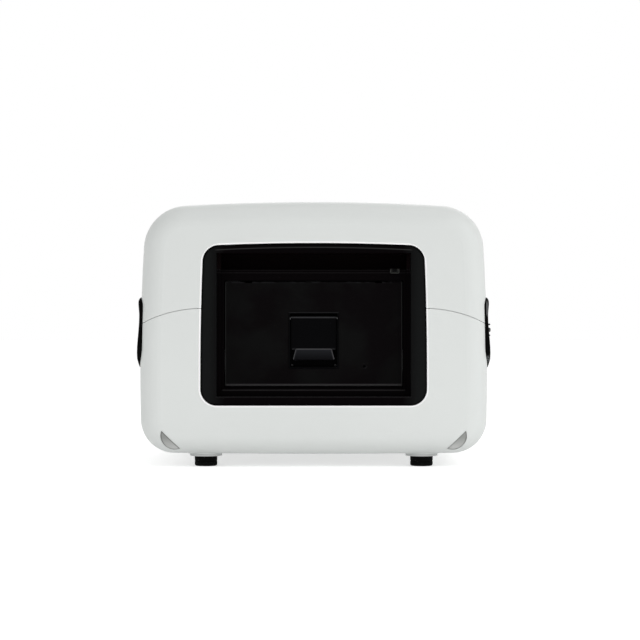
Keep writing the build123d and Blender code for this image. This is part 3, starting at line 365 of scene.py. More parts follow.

# %% [markdown]
# ## Painted highlights on the pull
#
# The pull gets painted light: the lip's face gets lighter towards the top, with painted highlights along its
# bend and its slanted sides, and the cup's flange and the knuckle get a painted highlight band each. Both
# slanted sides lie where |x| + 0.266 z has one value, so a single sum draws them.

# %% Latch
CUP_TOP, CUP_FRONT = (0.1534, 0.1538), (-0.1298, -0.1302)
KNUCKLE_Z, KNUCKLE_LINE, KNUCKLE_FRONT, CUP_SIDE = 0.1492, 0.0011, (-0.1262, -0.1268), (0.0235, 0.0232)
LIP_TOP, LIP_LOW, LIP_SHADE = (0.1183, 0.1178), (0.1060, 0.1065), (0.1085, 0.1175)
LIP_FRONT, LIP_SIDE = (-0.1284, -0.1288), (0.0218, 0.0215)
SLANT, SLANT_PLACE, SLANT_LINE, LIP_LINE_Z, LIP_LINE = 0.266, 0.0493, 0.0014, 0.1176, 0.0010
latch = finishes["latch_plastic"]
x, y, z = latch.parts(latch.place())
# Painted highlight on the cup's top flange.
latch.over(latch.remap(z, *CUP_TOP) * latch.remap(y, *CUP_FRONT), srgb(30, 30, 31))
inside_cup = latch.remap(x.size(), *CUP_SIDE)
# Painted highlight band along the knuckle, inside the cup.
latch.over(z.near(KNUCKLE_Z, KNUCKLE_LINE) * latch.remap(y, *KNUCKLE_FRONT) * inside_cup, srgb(60, 60, 62))
lip_face = latch.remap(z, *LIP_TOP) * latch.remap(z, *LIP_LOW)
lip_face = lip_face * latch.remap(y, *LIP_FRONT) * latch.remap(x.size(), *LIP_SIDE)
# Painted light on the lip's face: darker below, lighter towards the top.
latch.over(lip_face, latch.mix(latch.remap(z, *LIP_SHADE), srgb(15, 15, 17), srgb(34, 35, 38)))
# Painted highlights along the lip's bend and its slanted sides.
lip_edges = (x.size() + z * SLANT).near(SLANT_PLACE, SLANT_LINE).most(z.near(LIP_LINE_Z, LIP_LINE))
latch.over(lip_face * lip_edges, srgb(84, 84, 86))

# %% [markdown]
# ## Barrier, grips and insets
#
# The light barrier's fork has a paler front edge. The right grip gets a painted sheen high on its rim and a
# painted reflection, broken up by noise, at its lower end. Each inset is a disc cut by a slanted chord and gets
# painted shade: it is paler downwards, and its dark outline, a painted shadow where the cut steps in, comes from
# the distance to the disc's middle and to the chord. The outline is stronger on the left inset.

# %% Light barrier, grips and insets
BARRIER_FRONT = (-0.1311, -0.1313)
barrier = finishes["sensor_plastic"]
_, y, _ = barrier.parts(barrier.place())
barrier.over(barrier.remap(y, *BARRIER_FRONT), srgb(62, 62, 60))

RIM_FRONT, TIP_FRONT = (-0.124, -0.130), (-0.130, -0.134)
SHEEN_X, SHEEN_LINE, SHEEN_LOW, SHEEN_TOP = 0.1728, 0.0012, (0.150, 0.153), (0.1665, 0.1635)
LOWER_SHEEN_X, LOWER_SHEEN_FROM, LOWER_SHEEN_TO = (0.170, 0.171), (0.102, 0.104), (0.112, 0.109)
rubber = finishes["grip_rubber"]
x, y, z = rubber.parts(rubber.place())
broken_up = rubber.remap(rubber.noise(rubber.place(), 500.0, 2.0), 0.42, 0.58)
# Painted sheen: a lighter band high on the right grip's rim, where its rounded top reflects the light.
sheen = x.near(SHEEN_X, SHEEN_LINE) * rubber.remap(z, *SHEEN_LOW) * rubber.remap(z, *SHEEN_TOP)
# Painted reflection: a lighter patch at the right grip's lower end, broken up by noise.
lower_sheen = rubber.remap(x, *LOWER_SHEEN_X) * rubber.remap(z, *LOWER_SHEEN_FROM) * rubber.remap(z, *LOWER_SHEEN_TO) * broken_up
painted_light = sheen.most(lower_sheen * rubber.remap(y, *TIP_FRONT)) * rubber.remap(y, *RIM_FRONT)
rubber.over(painted_light, srgb(108, 109, 110))

INSET_X, INSET_Z, INSET_RADIUS, ARC_LINE, ARC_LOW = 0.138, 0.0317, 0.0134, 0.0008, (0.021, 0.026)
CHORD, CHORD_LINE = -0.0083, 0.0009
PALE_BELOW, OUTLINE_SIDES, OUTLINE_SHARES = (0.030, 0.018), (0.06, -0.06), (0.45, 0.8)
inset = finishes["inset_grey"]
x, _, z = inset.parts(inset.place())
dx, dz = x.size() - INSET_X, z - INSET_Z
# Painted light and shade: each inset is coloured paler downwards, where the scoop shallows out.
inset.over(inset.remap(z, *PALE_BELOW), srgb(200, 201, 199))
# Painted shadow: a dark outline along the chord and the upper arc, where the cut steps in, stronger on the left
# inset.
chord = (dz - dx).near(CHORD, CHORD_LINE)
arc = ((dx * dx + dz * dz) ** 0.5).near(INSET_RADIUS, ARC_LINE) * inset.remap(z, *ARC_LOW)
inset.over(chord.most(arc) * inset.remap(x, *OUTLINE_SIDES, *OUTLINE_SHARES), srgb(60, 60, 60))
print("worn lines on casing, bezel, bay, drawer, latch, light barrier, grips and insets")

# %% [markdown]
# ## Metal and painted sheet
#
# Behind the drawer and at the rear there is plain engineering metal. Rolled sheet has fine lines along
# its rolling direction, zinc plating adds pale blotches, and powder coat has a soft orange-peel bump.

# %% Metal finishes
def rolled(name, colour, roughness, along=(1.0, 1.0, 1.0), blotch=0.1, fine=900.0, depth=0.000004):
    """Metal with fine lines: noise stretched along the rolling direction, and pale blotches."""
    f = Finish(name, colour, roughness, metallic=1.0)
    where = f.place()
    lines = f.noise(f.stretch(where, along), fine, 2.0, 0.7)
    patches = f.noise(where, 60.0, 3.0)
    darker = tuple(c * (1 - blotch) for c in colour)
    f.set("Base Color", f.mix(f.remap(patches, 0.35, 0.65), darker, colour))
    f.set("Roughness", roughness + (lines - 0.5) * 0.12 + (patches - 0.5) * 0.10)
    f.relief(lines * depth)
    return f


def coated(name, colour, roughness, peel=1 / 0.0016, depth=0.00002):
    """Powder coat on sheet: an orange-peel bump under an even colour."""
    f = Finish(name, colour, roughness)
    where = f.place()
    skin = f.noise(where, peel, 1.5, 0.4)
    wide = f.noise(where, 12.0, 3.0)
    darker = tuple(c * 0.95 for c in colour)
    f.set("Base Color", f.mix(f.remap(wide, 0.3, 0.7), darker, colour))
    f.set("Roughness", roughness + (skin - 0.5) * 0.12)
    f.relief(skin * depth)
    return f


finishes.update({
    "rear_sheet": coated("rear_sheet", srgb(205, 208, 208), 0.45),
    "tray_sheet": coated("tray_sheet", srgb(44, 45, 46), 0.5),
    "motor_black": coated("motor_black", srgb(36, 36, 38), 0.4),
    "slide_black": coated("slide_black", srgb(20, 20, 21), 0.4),
    "runner_steel": rolled("runner_steel", srgb(70, 70, 72), 0.4, (1.0, 0.03, 1.0)),
    "chassis_steel": rolled("chassis_steel", srgb(192, 194, 192), 0.42, (1.0, 0.04, 1.0), 0.18),
    "supply_case": rolled("supply_case", srgb(190, 192, 192), 0.40, (1.0, 1.0, 0.05), 0.15),
    "port_shell": rolled("port_shell", srgb(190, 192, 196), 0.30),
    "screw_steel": rolled("screw_steel", srgb(150, 150, 150), 0.32),
    "spring_steel": rolled("spring_steel", srgb(190, 190, 190), 0.25),
    "rod_steel": rolled("rod_steel", srgb(205, 206, 208), 0.16, (0.02, 1.0, 1.0), 0.03),
    "guard_wire": rolled("guard_wire", srgb(205, 206, 208), 0.22, (1.0, 1.0, 1.0), 0.05),
    "standoff_brass": rolled("standoff_brass", srgb(214, 184, 110), 0.28),
    "reader_alloy": rolled("reader_alloy", srgb(120, 122, 126), 0.42, (0.05, 1.0, 1.0)),
    "lens_glass": moulded("lens_glass", srgb(40, 52, 66), 0.06, cloudy=0.02, **{"Coat Weight": 1.0}),
    "board_green": moulded("board_green", srgb(28, 96, 58), 0.32, cloudy=0.2),
})
print(len(finishes), "finishes in all")

# %% [markdown]
# ## Dressing the solids
#
# The record says which material slot each solid has. The finish of that name goes into the object's own
# slots, and the mesh isn't touched.

# %% Finishes go onto the solids
for piece in frame["record"]["subparts"]:
    mesh = nodes[piece["node"]].data
    mesh.materials.clear()
    mesh.materials.append(finishes[piece["material_slot"]].material)

# %% [markdown]
# ## Shapes from grids of points
#
# The new pieces are surfaces of two parameters. Each is worked out with numpy as a grid of points, rows by
# columns, and neighbouring points make a face. Blender's own primitives could be bevelled instead, but a
# formula gives the real profile at once and its sizes stay readable. All lengths here are in millimetres.

# %% Helpers for grids
MM = 0.001
AXES = {"x": np.array([[0, 1, 0], [0, 0, 1], [1, 0, 0]]),
        "y": np.array([[1, 0, 0], [0, 0, 1], [0, 1, 0]]),
        "z": np.eye(3)}


def box_of(node):
    """A solid's lowest corner, highest corner and middle, in millimetres."""
    low, high = np.array(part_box(node)) / MM
    return low, high, (low + high) / 2


def eased(corners, radius, steps=5):
    """Rounds a line's corners: (1-t)^2 a + 2t(1-t) corner + t^2 b, with a and b radius away on its sides."""
    line = np.array(corners, float)

    def towards(other):
        gap = other - line[1:-1]
        length = np.linalg.norm(gap, axis=1, keepdims=True)
        return line[1:-1] + gap / length * np.minimum(radius, length / 2)

    a, b = towards(line[:-2]), towards(line[2:])
    t = np.linspace(0, 1, steps)[:, None, None]
    curves = (1 - t) ** 2 * a + 2 * t * (1 - t) * line[1:-1] + t ** 2 * b
    return np.concatenate([line[:1], curves.transpose(1, 0, 2).reshape(-1, line.shape[1]), line[-1:]])


def turned(profile, centre, axis="z", count=40):
    """A profile of radius and height carried round an axis: (r cos a, r sin a, h)."""
    radius, height = np.array(profile, float).T
    a = np.linspace(0, 2 * np.pi, count + 1)
    grid = np.stack([radius[:, None] * np.cos(a), radius[:, None] * np.sin(a), height[:, None] + 0 * a], -1)
    return np.array(centre) + grid @ AXES[axis]


def rings(width, height, corners, inset, count=6, between=0):
    """Rounded rectangles drawn in by insets: four arcs of radius corner - inset, joined by straight sides."""
    inset = np.asarray(inset, float)[:, None, None]
    turn = (np.arange(4)[:, None] + np.linspace(0, 1, count)) * np.pi / 2
    side = np.array([[1, 1], [-1, 1], [-1, -1], [1, -1]])
    radius = np.maximum(np.array(corners)[:, None] - inset, 0)
    x = side[:, :1] * (np.maximum(width / 2 - inset, 0) - radius) + radius * np.cos(turn)
    y = side[:, 1:] * (np.maximum(height / 2 - inset, 0) - radius) + radius * np.sin(turn)
    arcs = np.stack([x, y], -1)
    if between:
        share = (np.arange(between) + 1)[:, None] / (between + 1)
        start, end = arcs[:, :, -1:], np.roll(arcs, -1, axis=1)[:, :, :1]
        arcs = np.concatenate([arcs, start + (end - start) * share], axis=2)
    ring = arcs.reshape(len(inset), -1, 2)
    return np.concatenate([ring, ring[:, :1]], axis=1)


def slab(width, height, corner, profile, centre, axis="z", **more):
    """Rounded rectangles stacked along an axis; the profile gives each one's inset and level."""
    inset, level = np.array(profile, float).T
    flat = rings(width, height, [corner] * 4 if np.isscalar(corner) else corner, inset, **more)
    grid = np.concatenate([flat, np.broadcast_to(level[:, None, None], (*flat.shape[:2], 1))], -1)
    return np.array(centre) + grid @ AXES[axis]


def soft_block(low, high, corner, edge, axis="z", steps=4):
    """A closed block between two corners with rounded corners, and its two faces' edges eased."""
    low, high = np.array(low, float), np.array(high, float)
    size = (high - low) @ AXES[axis].T
    deep = min(size[0], size[1]) / 2
    half = size[2] / 2
    profile = eased([(deep, -half), (0, -half), (0, half), (deep, half)], edge, steps)
    return slab(size[0], size[1], corner, profile, (low + high) / 2, axis)


def tube(path, radius, up=(0, 0, 1), count=10, closed=False):
    """A circle of that radius carried along a path; open ends close with a half ball."""
    path = np.array(path, float)
    if closed:
        ahead = np.roll(path, -1, axis=0) - np.roll(path, 1, axis=0)
        path, ahead = (np.concatenate([a, a[:1]]) for a in (path, ahead))
    else:
        ahead = np.gradient(path, axis=0)
    ahead = ahead / np.linalg.norm(ahead, axis=1, keepdims=True)
    size = np.full(len(path), float(radius))
    if not closed:
        q = np.linspace(0, np.pi / 2, 4)[:-1]
        start, end = (path[k] - s * ahead[k] * radius * np.cos(q)[:, None] for k, s in ((0, 1), (-1, -1)))
        path = np.concatenate([start, path, end[::-1]])
        ahead = np.concatenate([np.repeat(ahead[:1], 3, 0), ahead, np.repeat(ahead[-1:], 3, 0)])
        size = np.concatenate([radius * np.sin(q), size, radius * np.sin(q)[::-1]])
    side = np.cross(ahead, up)
    side = side / np.linalg.norm(side, axis=1, keepdims=True)
    other = np.cross(side, ahead)
    a = np.linspace(0, 2 * np.pi, count + 1)[None, :, None]
    return path[:, None] + size[:, None, None] * (np.cos(a) * side[:, None] + np.sin(a) * other[:, None])


def spun(grid, centre, axis, degrees):
    """The grid turned about an axis through a centre, as seen against that axis."""
    a = np.radians(degrees)
    k = "xyz".index(axis)
    i, j = (k + 1) % 3, (k + 2) % 3
    turn = np.eye(3)
    turn[i, i] = turn[j, j] = np.cos(a)
    turn[i, j], turn[j, i] = np.sin(a), -np.sin(a)
    return (grid - centre) @ turn + centre


made = []


def knit(name, grids, slot, body, *replaced, angle=38):
    """Makes one piece of all its grids: joins seams and poles, turns faces outwards, and places it."""
    points, quads, start = [], [], 0
    for grid in grids:
        rows, columns = grid.shape[:2]
        index = start + np.arange(rows * columns).reshape(rows, columns)
        corner = [index[:-1, :-1], index[1:, :-1], index[1:, 1:], index[:-1, 1:]]
        quads.append(np.stack(corner, -1).reshape(-1, 4))
        points.append(grid.reshape(-1, 3))
        start += rows * columns
    mesh = bpy.data.meshes.new(name)
    mesh.from_pydata((np.concatenate(points) * MM).tolist(), [], np.concatenate(quads).tolist())
    work = bmesh.new()
    work.from_mesh(mesh)
    bmesh.ops.remove_doubles(work, verts=work.verts, dist=1e-6)
    bmesh.ops.recalc_face_normals(work, faces=work.faces)
    work.to_mesh(mesh)
    work.free()
    mesh.polygons.foreach_set("use_smooth", np.ones(len(mesh.polygons), bool))
    mesh.set_sharp_from_angle(angle=np.radians(angle))
    mesh.materials.append(finishes[slot].material)
    piece = bpy.data.objects.new(name, mesh)
    bpy.context.scene.collection.objects.link(piece)
    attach(piece, body)
    if replaced:
        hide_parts(*replaced)
    mesh.calc_loop_triangles()
    made.append((name, len(mesh.loop_triangles)))
    print(f"{name}: {len(mesh.loop_triangles)} triangles")
    return piece


# %% [markdown]
# ## Feet, collars and fasteners
#
# A rubber foot is a turned form: a flat sole, a small chamfer, a groove left by the mould's parting and a
# sunk hole for its screw. The profile goes once round the axis, which gives a ring with no open edge. The
# pale collar above each foot is turned too. Screw heads need a cross recess, which no turned profile has, so
# the head is a height over a round grid: a shallow crown less the cross.

# %% Feet and collars
SIDES = (-1, 1)
FOOT_RADIUS, COLLAR_RADIUS, BORE, EASE = 11.4, 16.1, 1.8, 0.5
SINK, SINK_TOP = 3.2, 5.1
SOLE_RADIUS, CHAMFER_TOP = 10.2, 1.2
GROOVE_RADIUS, GROOVE_LOW, GROOVE_MIDDLE, GROOVE_TOP = 10.8, 4.4, 4.9, 5.4
low, high, _ = box_of("feet")
foot_places = [(sx * (high[0] - FOOT_RADIUS), sy * (high[1] - FOOT_RADIUS)) for sx in SIDES for sy in SIDES]
sole, neck = low[2], high[2]
foot = eased([(BORE, neck), (BORE, SINK_TOP), (SINK, SINK_TOP), (SINK, sole), (SOLE_RADIUS, sole),
              (FOOT_RADIUS, CHAMFER_TOP), (FOOT_RADIUS, GROOVE_LOW), (GROOVE_RADIUS, GROOVE_MIDDLE),
              (FOOT_RADIUS, GROOVE_TOP), (FOOT_RADIUS, neck), (BORE, neck)], EASE)
knit("rubber_feet", [turned(foot, (x, y, 0)) for x, y in foot_places], "foot_rubber", "casing", "feet")
low, high, _ = box_of("foot_collars")
collar = eased([(BORE, low[2]), (COLLAR_RADIUS, low[2]), (COLLAR_RADIUS, high[2]), (BORE, high[2]),
                (BORE, low[2])], EASE)
knit("foot_rings", [turned(collar, (x, y, 0), count=56) for x, y in foot_places], "collar_plastic", "casing",
     "foot_collars")

# %% Screws with a cross recess
HEAD_RADIUS, HEAD_TALL, SHANK = 2.9, 1.8, 1.5
CROWN, RECESS = 0.3, 0.55
ARM_HALF, ARM_SLOPE, ARM_REACH, ARM_FADE = 0.5, 0.15, 0.62, 0.3


def screw(point, axis, sign, length):
    """A pan head on a shank: height = tall (1 - 0.3 (r/R)^2) - recess where the cross is."""
    r = np.concatenate([np.linspace(0, 0.97 * HEAD_RADIUS, 20), [HEAD_RADIUS, HEAD_RADIUS, SHANK, SHANK, 0]])
    r = r[:, None]
    a = np.linspace(0, 2 * np.pi, 65)
    x, y = r * np.cos(a), r * np.sin(a)
    arms = np.clip((ARM_HALF - np.minimum(abs(x), abs(y))) / ARM_SLOPE, 0, 1)
    arms = arms * np.clip((ARM_REACH * HEAD_RADIUS - r) / ARM_FADE, 0, 1)
    height = HEAD_TALL * (1 - CROWN * (r / HEAD_RADIUS) ** 2) - RECESS * HEAD_TALL * arms
    height[-5:] = np.array([0.5 * HEAD_TALL, 0, 0, -length, -length])[:, None]
    return np.array(point) + np.stack([x, y, sign * height], -1) @ AXES[axis]


for name, body, node in (("rear_screws", "casing", "panel_screws"),
                         ("tray_screws", "drawer", "drawer_screws")):
    low, high, _ = box_of(node)
    heights = (low[2] + HEAD_RADIUS, high[2] - HEAD_RADIUS)
    places = [(sx * (high[0] - HEAD_RADIUS), high[1] - HEAD_TALL, z) for sx in SIDES for z in heights]
    knit(name, [screw(p, "y", 1, p[1] - low[1]) for p in places], "screw_steel", body, node)
low, high, _ = box_of("foot_screws")
places = [(x, y, low[2] + HEAD_TALL) for x, y in foot_places]
screws = [screw(p, "z", -1, high[2] - p[2]) for p in places]
knit("sole_screws", screws, "screw_steel", "casing", "foot_screws")

# %% [markdown]
# ## Side grips
#
# Each grip is one rubbery moulding pushed into the casing's side: a soft rim, thin above, drawn in below
# that and fullest near its lower end, round a deep well with ribs for the fingertips. Its rings are rounded
# rectangles drawn in step by step, from the back plate over the rim and down into the well. The rim's reach
# changes with height, so a ring's outward place is stretched by a curve through the real rim's five heights.

# %% Grips
RIM, RIM_EDGE, WELL_FILLET = 8.5, 2.2, 3.0
BACK_PLATE, FLANGE, RIM_LEVEL = 156.5, 164.5, 175.0
WELL_FLOOR = BACK_PLATE + 2.0
CORNERS = [10.0, 10.0, 22.0, 22.0]
FLOOR_RINGS, RIB_HEIGHT, RIB_PITCH = 9, 0.7, 6
REACH_PLACES = np.array([0.0, 0.17, 0.75, 0.94, 1.0])
REACH = np.array([175.0, 176.5, 174.0, 174.9, 174.2])


def between_knots(value, places, levels):
    """Levels joined by 3t^2 - 2t^3, so that the curve is level at each knot."""
    k = np.clip(np.searchsorted(places, value) - 1, 0, len(places) - 2)
    t = np.clip((value - places[k]) / (places[k + 1] - places[k]), 0, 1)
    return levels[k] + (levels[k + 1] - levels[k]) * (3 * t ** 2 - 2 * t ** 3)


def grip(side):
    """Rings from the back plate over the rim and into the well; x is stretched to the rim's reach at z."""
    low, high, middle = box_of("right_grip")
    wide, tall = high[1] - low[1], high[2] - low[2]
    deep = tall / 2
    neck = RIM - 2
    shell = eased([(deep, BACK_PLATE), (neck, BACK_PLATE), (neck, FLANGE), (0, FLANGE), (0, RIM_LEVEL),
                   (RIM, RIM_LEVEL), (RIM, WELL_FLOOR), (RIM + WELL_FILLET, WELL_FLOOR)], RIM_EDGE, 7)
    floor = np.linspace(RIM + WELL_FILLET + 1, deep, FLOOR_RINGS)
    floor = np.stack([floor, np.full(FLOOR_RINGS, WELL_FLOOR)], -1)
    profile = np.concatenate([shell, floor])
    grid = slab(wide, tall, CORNERS, profile, (0, middle[1], middle[2]), "x", between=60)
    x, y, z = np.moveaxis(grid, -1, 0)
    reach = between_knots((z - low[2]) / tall, REACH_PLACES, REACH)
    x += np.maximum(x - FLANGE, 0) / (RIM_LEVEL - FLANGE) * (reach - RIM_LEVEL)
    inside = np.concatenate([np.zeros(len(shell)), np.clip(np.arange(FLOOR_RINGS) / 2, 0, 1)])[:, None]
    x += RIB_HEIGHT * inside * np.sin(np.pi * (y - middle[1]) / RIB_PITCH) ** 2
    return np.stack([side * x, y, z], -1)


for side, word in ((1, "right"), (-1, "left")):
    knit(f"{word}_hand_grip", [grip(side)], "grip_rubber", "casing", f"{word}_grip")

# %% [markdown]
# ## Screw and pips on the right grip
#
# A round-headed screw holds the grip's front end, with a small moulded pip above and below it. All three are
# turned forms along X, and their end is eased so far that it becomes a dome.

# %% Retaining screw and pips
low, high, middle = box_of("grip_studs")
PIP_RADIUS, PIP_PITCH, PIP_STEP, STUD_SPREAD = 0.9, 5.4, 0.3, 0.4
stud_radius = (high[1] - low[1]) / 2 + STUD_SPREAD
studs = []
for radius, up, end in ((stud_radius, 0, high[0]), (PIP_RADIUS, PIP_PITCH, high[0] - PIP_STEP),
                        (PIP_RADIUS, -PIP_PITCH, high[0] - PIP_STEP)):
    dome = eased([(0, low[0]), (radius, low[0]), (radius, end), (0, end)], 1.5 * radius, 8)
    studs.append(turned(dome, (0, middle[1], middle[2] + up), "x", 28))
knit("grip_screw_and_pips", studs, "stud_plastic", "casing", "grip_studs")

# %% [markdown]
# ## The pull latch
#
# The pull is a moulding that hangs on a pin: a round knuckle, a flat flap, and a lip that flares outwards for
# the fingertips. The lip is a plate whose outline widens downwards, so it is made flat as a rounded slab,
# widened in proportion to its height, and then laid on the slope. Behind the flap an arm reaches the bolt.

# %% Pull and rivets
low, high, _ = box_of("latch_paddle")
KNUCKLE, FLAP_WALL, FLAP_EASE = 3.0, 3.0, 0.7
LIP_REACH, LIP_HALF_TOP, LIP_HALF_LOW, LIP_TALL = 5.0, 18.0, 20.9, 10.9
LIP_WALL, LIP_FACE, LIP_CORNER, LIP_EASE, LIP_OVERLAP = 2.2, 0.35, 1.4, 0.9, 1.5
PULL_ARM_WIDE, PULL_ARM_TALL, PULL_ARM_EASE = 4, 1.6, 1.2
wide, pin_z, flap_y, lip_top = high[0], high[2] - KNUCKLE, low[1] + LIP_REACH, low[2] + LIP_TALL
pin_y = flap_y + KNUCKLE


def lip():
    """A slab of x, s, n with x widened by 1 + k (1/2 - s/length), laid along the slope s with normal n."""
    slope = np.hypot(LIP_REACH, LIP_TALL)
    profile = [(slope / 2, -LIP_WALL), (0, -LIP_WALL), (0, LIP_FACE), (slope / 2, LIP_FACE)]
    profile = eased(profile, LIP_EASE, 6)
    flat = slab(2 * LIP_HALF_TOP, slope, LIP_CORNER, profile, (0, 0, 0), count=8, between=3)
    x, s, n = np.moveaxis(flat, -1, 0)
    x = x * (1 + (LIP_HALF_LOW / LIP_HALF_TOP - 1) * (0.5 - s / slope))
    down = np.array([0, -LIP_REACH, -LIP_TALL]) / slope
    out = np.array([0, -LIP_TALL, LIP_REACH]) / slope
    start = np.array([0, flap_y, lip_top])
    return start + (slope / 2 - s)[..., None] * down + n[..., None] * out + x[..., None] * np.array([1, 0, 0])


knuckle = eased([(0, -wide), (KNUCKLE, -wide), (KNUCKLE, wide), (0, wide)], FLAP_EASE)
knuckle = turned(knuckle, (0, pin_y, pin_z), "x")
flap = soft_block((-wide, flap_y, lip_top - LIP_OVERLAP), (wide, flap_y + FLAP_WALL, pin_z), 1.0,
                  FLAP_EASE, "y")
arm = soft_block((-PULL_ARM_WIDE, pin_y, pin_z - PULL_ARM_TALL),
                 (PULL_ARM_WIDE, high[1], pin_z + PULL_ARM_TALL), 1.5, PULL_ARM_EASE)
knit("latch_pull", [knuckle, flap, lip(), arm], "latch_plastic", "paddle", "latch_paddle")

low, high, _ = box_of("latch_rivets")
radius = (high[2] - low[2]) / 2
head = eased([(0, high[1]), (radius, high[1]), (radius, low[1]), (0, low[1])], 1.2, 7)
heads = [turned(head, (side * (high[0] - radius), 0, low[2] + radius), "y", 24) for side in SIDES]
knit("latch_rivet_heads", heads, "slide_black", "drawer", "latch_rivets")

# %% [markdown]
# ## The latch's spring
#
# A compression spring lifts the bolt. Its wire follows a helix that lies flat for most of a turn at each end,
# as a real spring's does. A Screw modifier could turn a circle into it, but not with flat ends.

# %% Spring
SPRING_TURNS, WIRE, END_TURNS, TURN_POINTS = 7, 0.3, 0.8, 18
low, high, middle = box_of("latch_spring")
t = np.linspace(0, 1, SPRING_TURNS * TURN_POINTS)
turn = 2 * np.pi * SPRING_TURNS * t
climb = np.clip((t * SPRING_TURNS - END_TURNS) / (SPRING_TURNS - 2 * END_TURNS), 0, 1)
coil = np.stack([middle[0] + (high[0] - middle[0] - WIRE) * np.cos(turn),
                 middle[1] + (high[1] - middle[1] - WIRE) * np.sin(turn),
                 low[2] + WIRE + (high[2] - low[2] - 2 * WIRE) * climb], -1)
spring = knit("latch_coil", [tube(coil, WIRE)], "spring_steel", "drawer", "latch_spring")
bolt = next(j for j in frame["joints"] if j["name"] == "bolt_slide")
bolt_drop = max(abs(v) for v in bolt["range_m"]) / MM
1 - bolt_drop / (high[2] - low[2])
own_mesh(spring)

# %% [markdown]
# ## Light barrier and lead screw
#
# The small sensor on the header is a dark fork whose paler edge draws a U. The lead screw has three
# thread starts, so that its nut travels ten millimetres a turn: its radius is a crest that depends on the
# place along the axis less the turn's share of the lead.

# %% Sensor
low, high, middle = box_of("drawer_sensor")
EDGE, FORK_FRONT, BACK_START, FORK_CORNER, FORK_EASE = 0.4, 1.0, 0.2, 0.5, 0.2
inner, outer, face = low[0] + EDGE, high[0] - EDGE, low[1] + EDGE
trace = eased([(inner, face, high[2] - EDGE), (inner, face, low[2] + EDGE), (outer, face, low[2] + EDGE),
               (outer, face, high[2] - EDGE)], 1.0, 7)
arm_width, base_height = (high[0] - low[0]) / 4, (high[2] - low[2]) / 3
front = low[1] + FORK_FRONT
blocks = (((low[0], middle[1] + BACK_START, low[2]), high),
          ((low[0], front, low[2]), (high[0], high[1], low[2] + base_height)),
          ((low[0], front, low[2]), (low[0] + arm_width, high[1], high[2])),
          ((high[0] - arm_width, front, low[2]), high))
fork = [soft_block(start, end, FORK_CORNER, FORK_EASE, "y") for start, end in blocks]
knit("sensor_fork", [*fork, tube(trace, EDGE, up=(0, 1, 0))], "sensor_plastic", "casing", "drawer_sensor")

# %% Lead screw
STARTS, LEAD, CORE = 3, 10.0, 2.35
low, high, middle = box_of("lead_screw")
crest = (high[2] - low[2]) / 2
along = np.linspace(low[0], high[0], 490)
a = np.linspace(0, 2 * np.pi, 31)
phase = (along[:, None] * STARTS / LEAD - STARTS * a / (2 * np.pi)) % 1
ridge = np.clip(2 - 5 * abs(phase - 0.5), 0, 1)
radius = CORE + (crest - CORE) * ridge
radius[[0, -1]] = 0
along[[0, -1]] = along[[1, -2]]
thread = [along[:, None] + 0 * a, middle[1] + radius * np.cos(a), middle[2] + radius * np.sin(a)]
thread = np.stack(thread, -1)
knit("threaded_screw", [thread], "rod_steel", "lead_screw", "lead_screw")

# %% [markdown]
# ## Fan
#
# The rotor's blades are thin aerofoils. A blade's grid runs from hub to tip and once round its section; the
# pitch falls towards the tip, where the air meets it faster, and the section bends as a shallow arch. The
# guard is bent wire, so rings and spokes are tubes.

# %% Fan rotor
low, high, middle = box_of("fan_rotor")
HUB, TIP, SUNK, BLADES, BLADE_WALL, CAMBER, SWEEP = 13.0, 26.8, 1.0, 7, 1.1, 0.9, 0.35
ROOT_PITCH, TWIST, ROOT_CHORD, FLARE = 52, 24, 10.5, 3.5


def blade(start):
    """r from hub to tip; around the section, chord cos p and thickness sin p plus the camber's arch."""
    u = np.linspace(0, 1, 12)[[0, *range(12), 11]][:, None]
    thick = np.array([0, *[BLADE_WALL] * 12, 0])[:, None]
    p = np.linspace(0, 2 * np.pi, 29)
    r = HUB - SUNK + u * (TIP - HUB + SUNK)
    pitch = np.radians(ROOT_PITCH - TWIST * u)
    chord = ROOT_CHORD + FLARE * u
    s = chord * np.cos(p) / 2
    n = thick * np.sin(p) / 2 + CAMBER * (1 - np.cos(p) ** 2)
    turn = (s * np.cos(pitch) - n * np.sin(pitch)) / r + start + SWEEP * u
    lift = s * np.sin(pitch) + n * np.cos(pitch)
    return np.stack([middle[0] + r * np.cos(turn), middle[1] + lift, middle[2] + r * np.sin(turn)], -1)


cap = eased([(0, low[1]), (HUB, low[1]), (HUB, high[1]), (HUB - 3, high[1]), (HUB - 4, high[1] - 0.5),
             (0, high[1] - 0.5)], 1.4, 6)
knit("fan_wheel", [turned(cap, (middle[0], 0, middle[2]), "y", 56)]
     + [blade(2 * np.pi * k / BLADES) for k in range(BLADES)], "fan_plastic", "fan", "fan_rotor")

# %% Fan guard
low, high, middle = box_of("fan_guard")
WIRES, SPOKES = 4, 4
gauge = (high[1] - low[1]) / 2
outer = (high[0] - low[0]) / 2
a = np.linspace(0, 2 * np.pi, 73)[:-1]
wires = []
for k in range(1, WIRES + 1):
    r = (outer - gauge) * k / WIRES
    loop = np.stack([middle[0] + r * np.cos(a), middle[1] + 0 * a, middle[2] + r * np.sin(a)], -1)
    wires.append(tube(loop, gauge, up=(0, 1, 0), count=8, closed=True))
for k in range(SPOKES):
    spoke = np.array([np.cos(np.pi * (k + 0.5) / 2), 0, np.sin(np.pi * (k + 0.5) / 2)])
    reach = np.linspace((outer - gauge) / WIRES, outer - gauge, 4)[:, None]
    wires.append(tube(middle + reach * spoke, gauge, up=(0, 1, 0), count=8))
knit("guard_wires", wires, "guard_wire", "casing", "fan_guard")

# %% [markdown]
# ## Rear sockets and switch
#
# The inlet's three blades are bright metal in a black socket. The network socket has eight gold wires that
# slope down to the back, and the round serial socket a metal ring with pins. The rocker's face is a shallow
# V with softened edges, and carries the usual bar and ring for on and off.

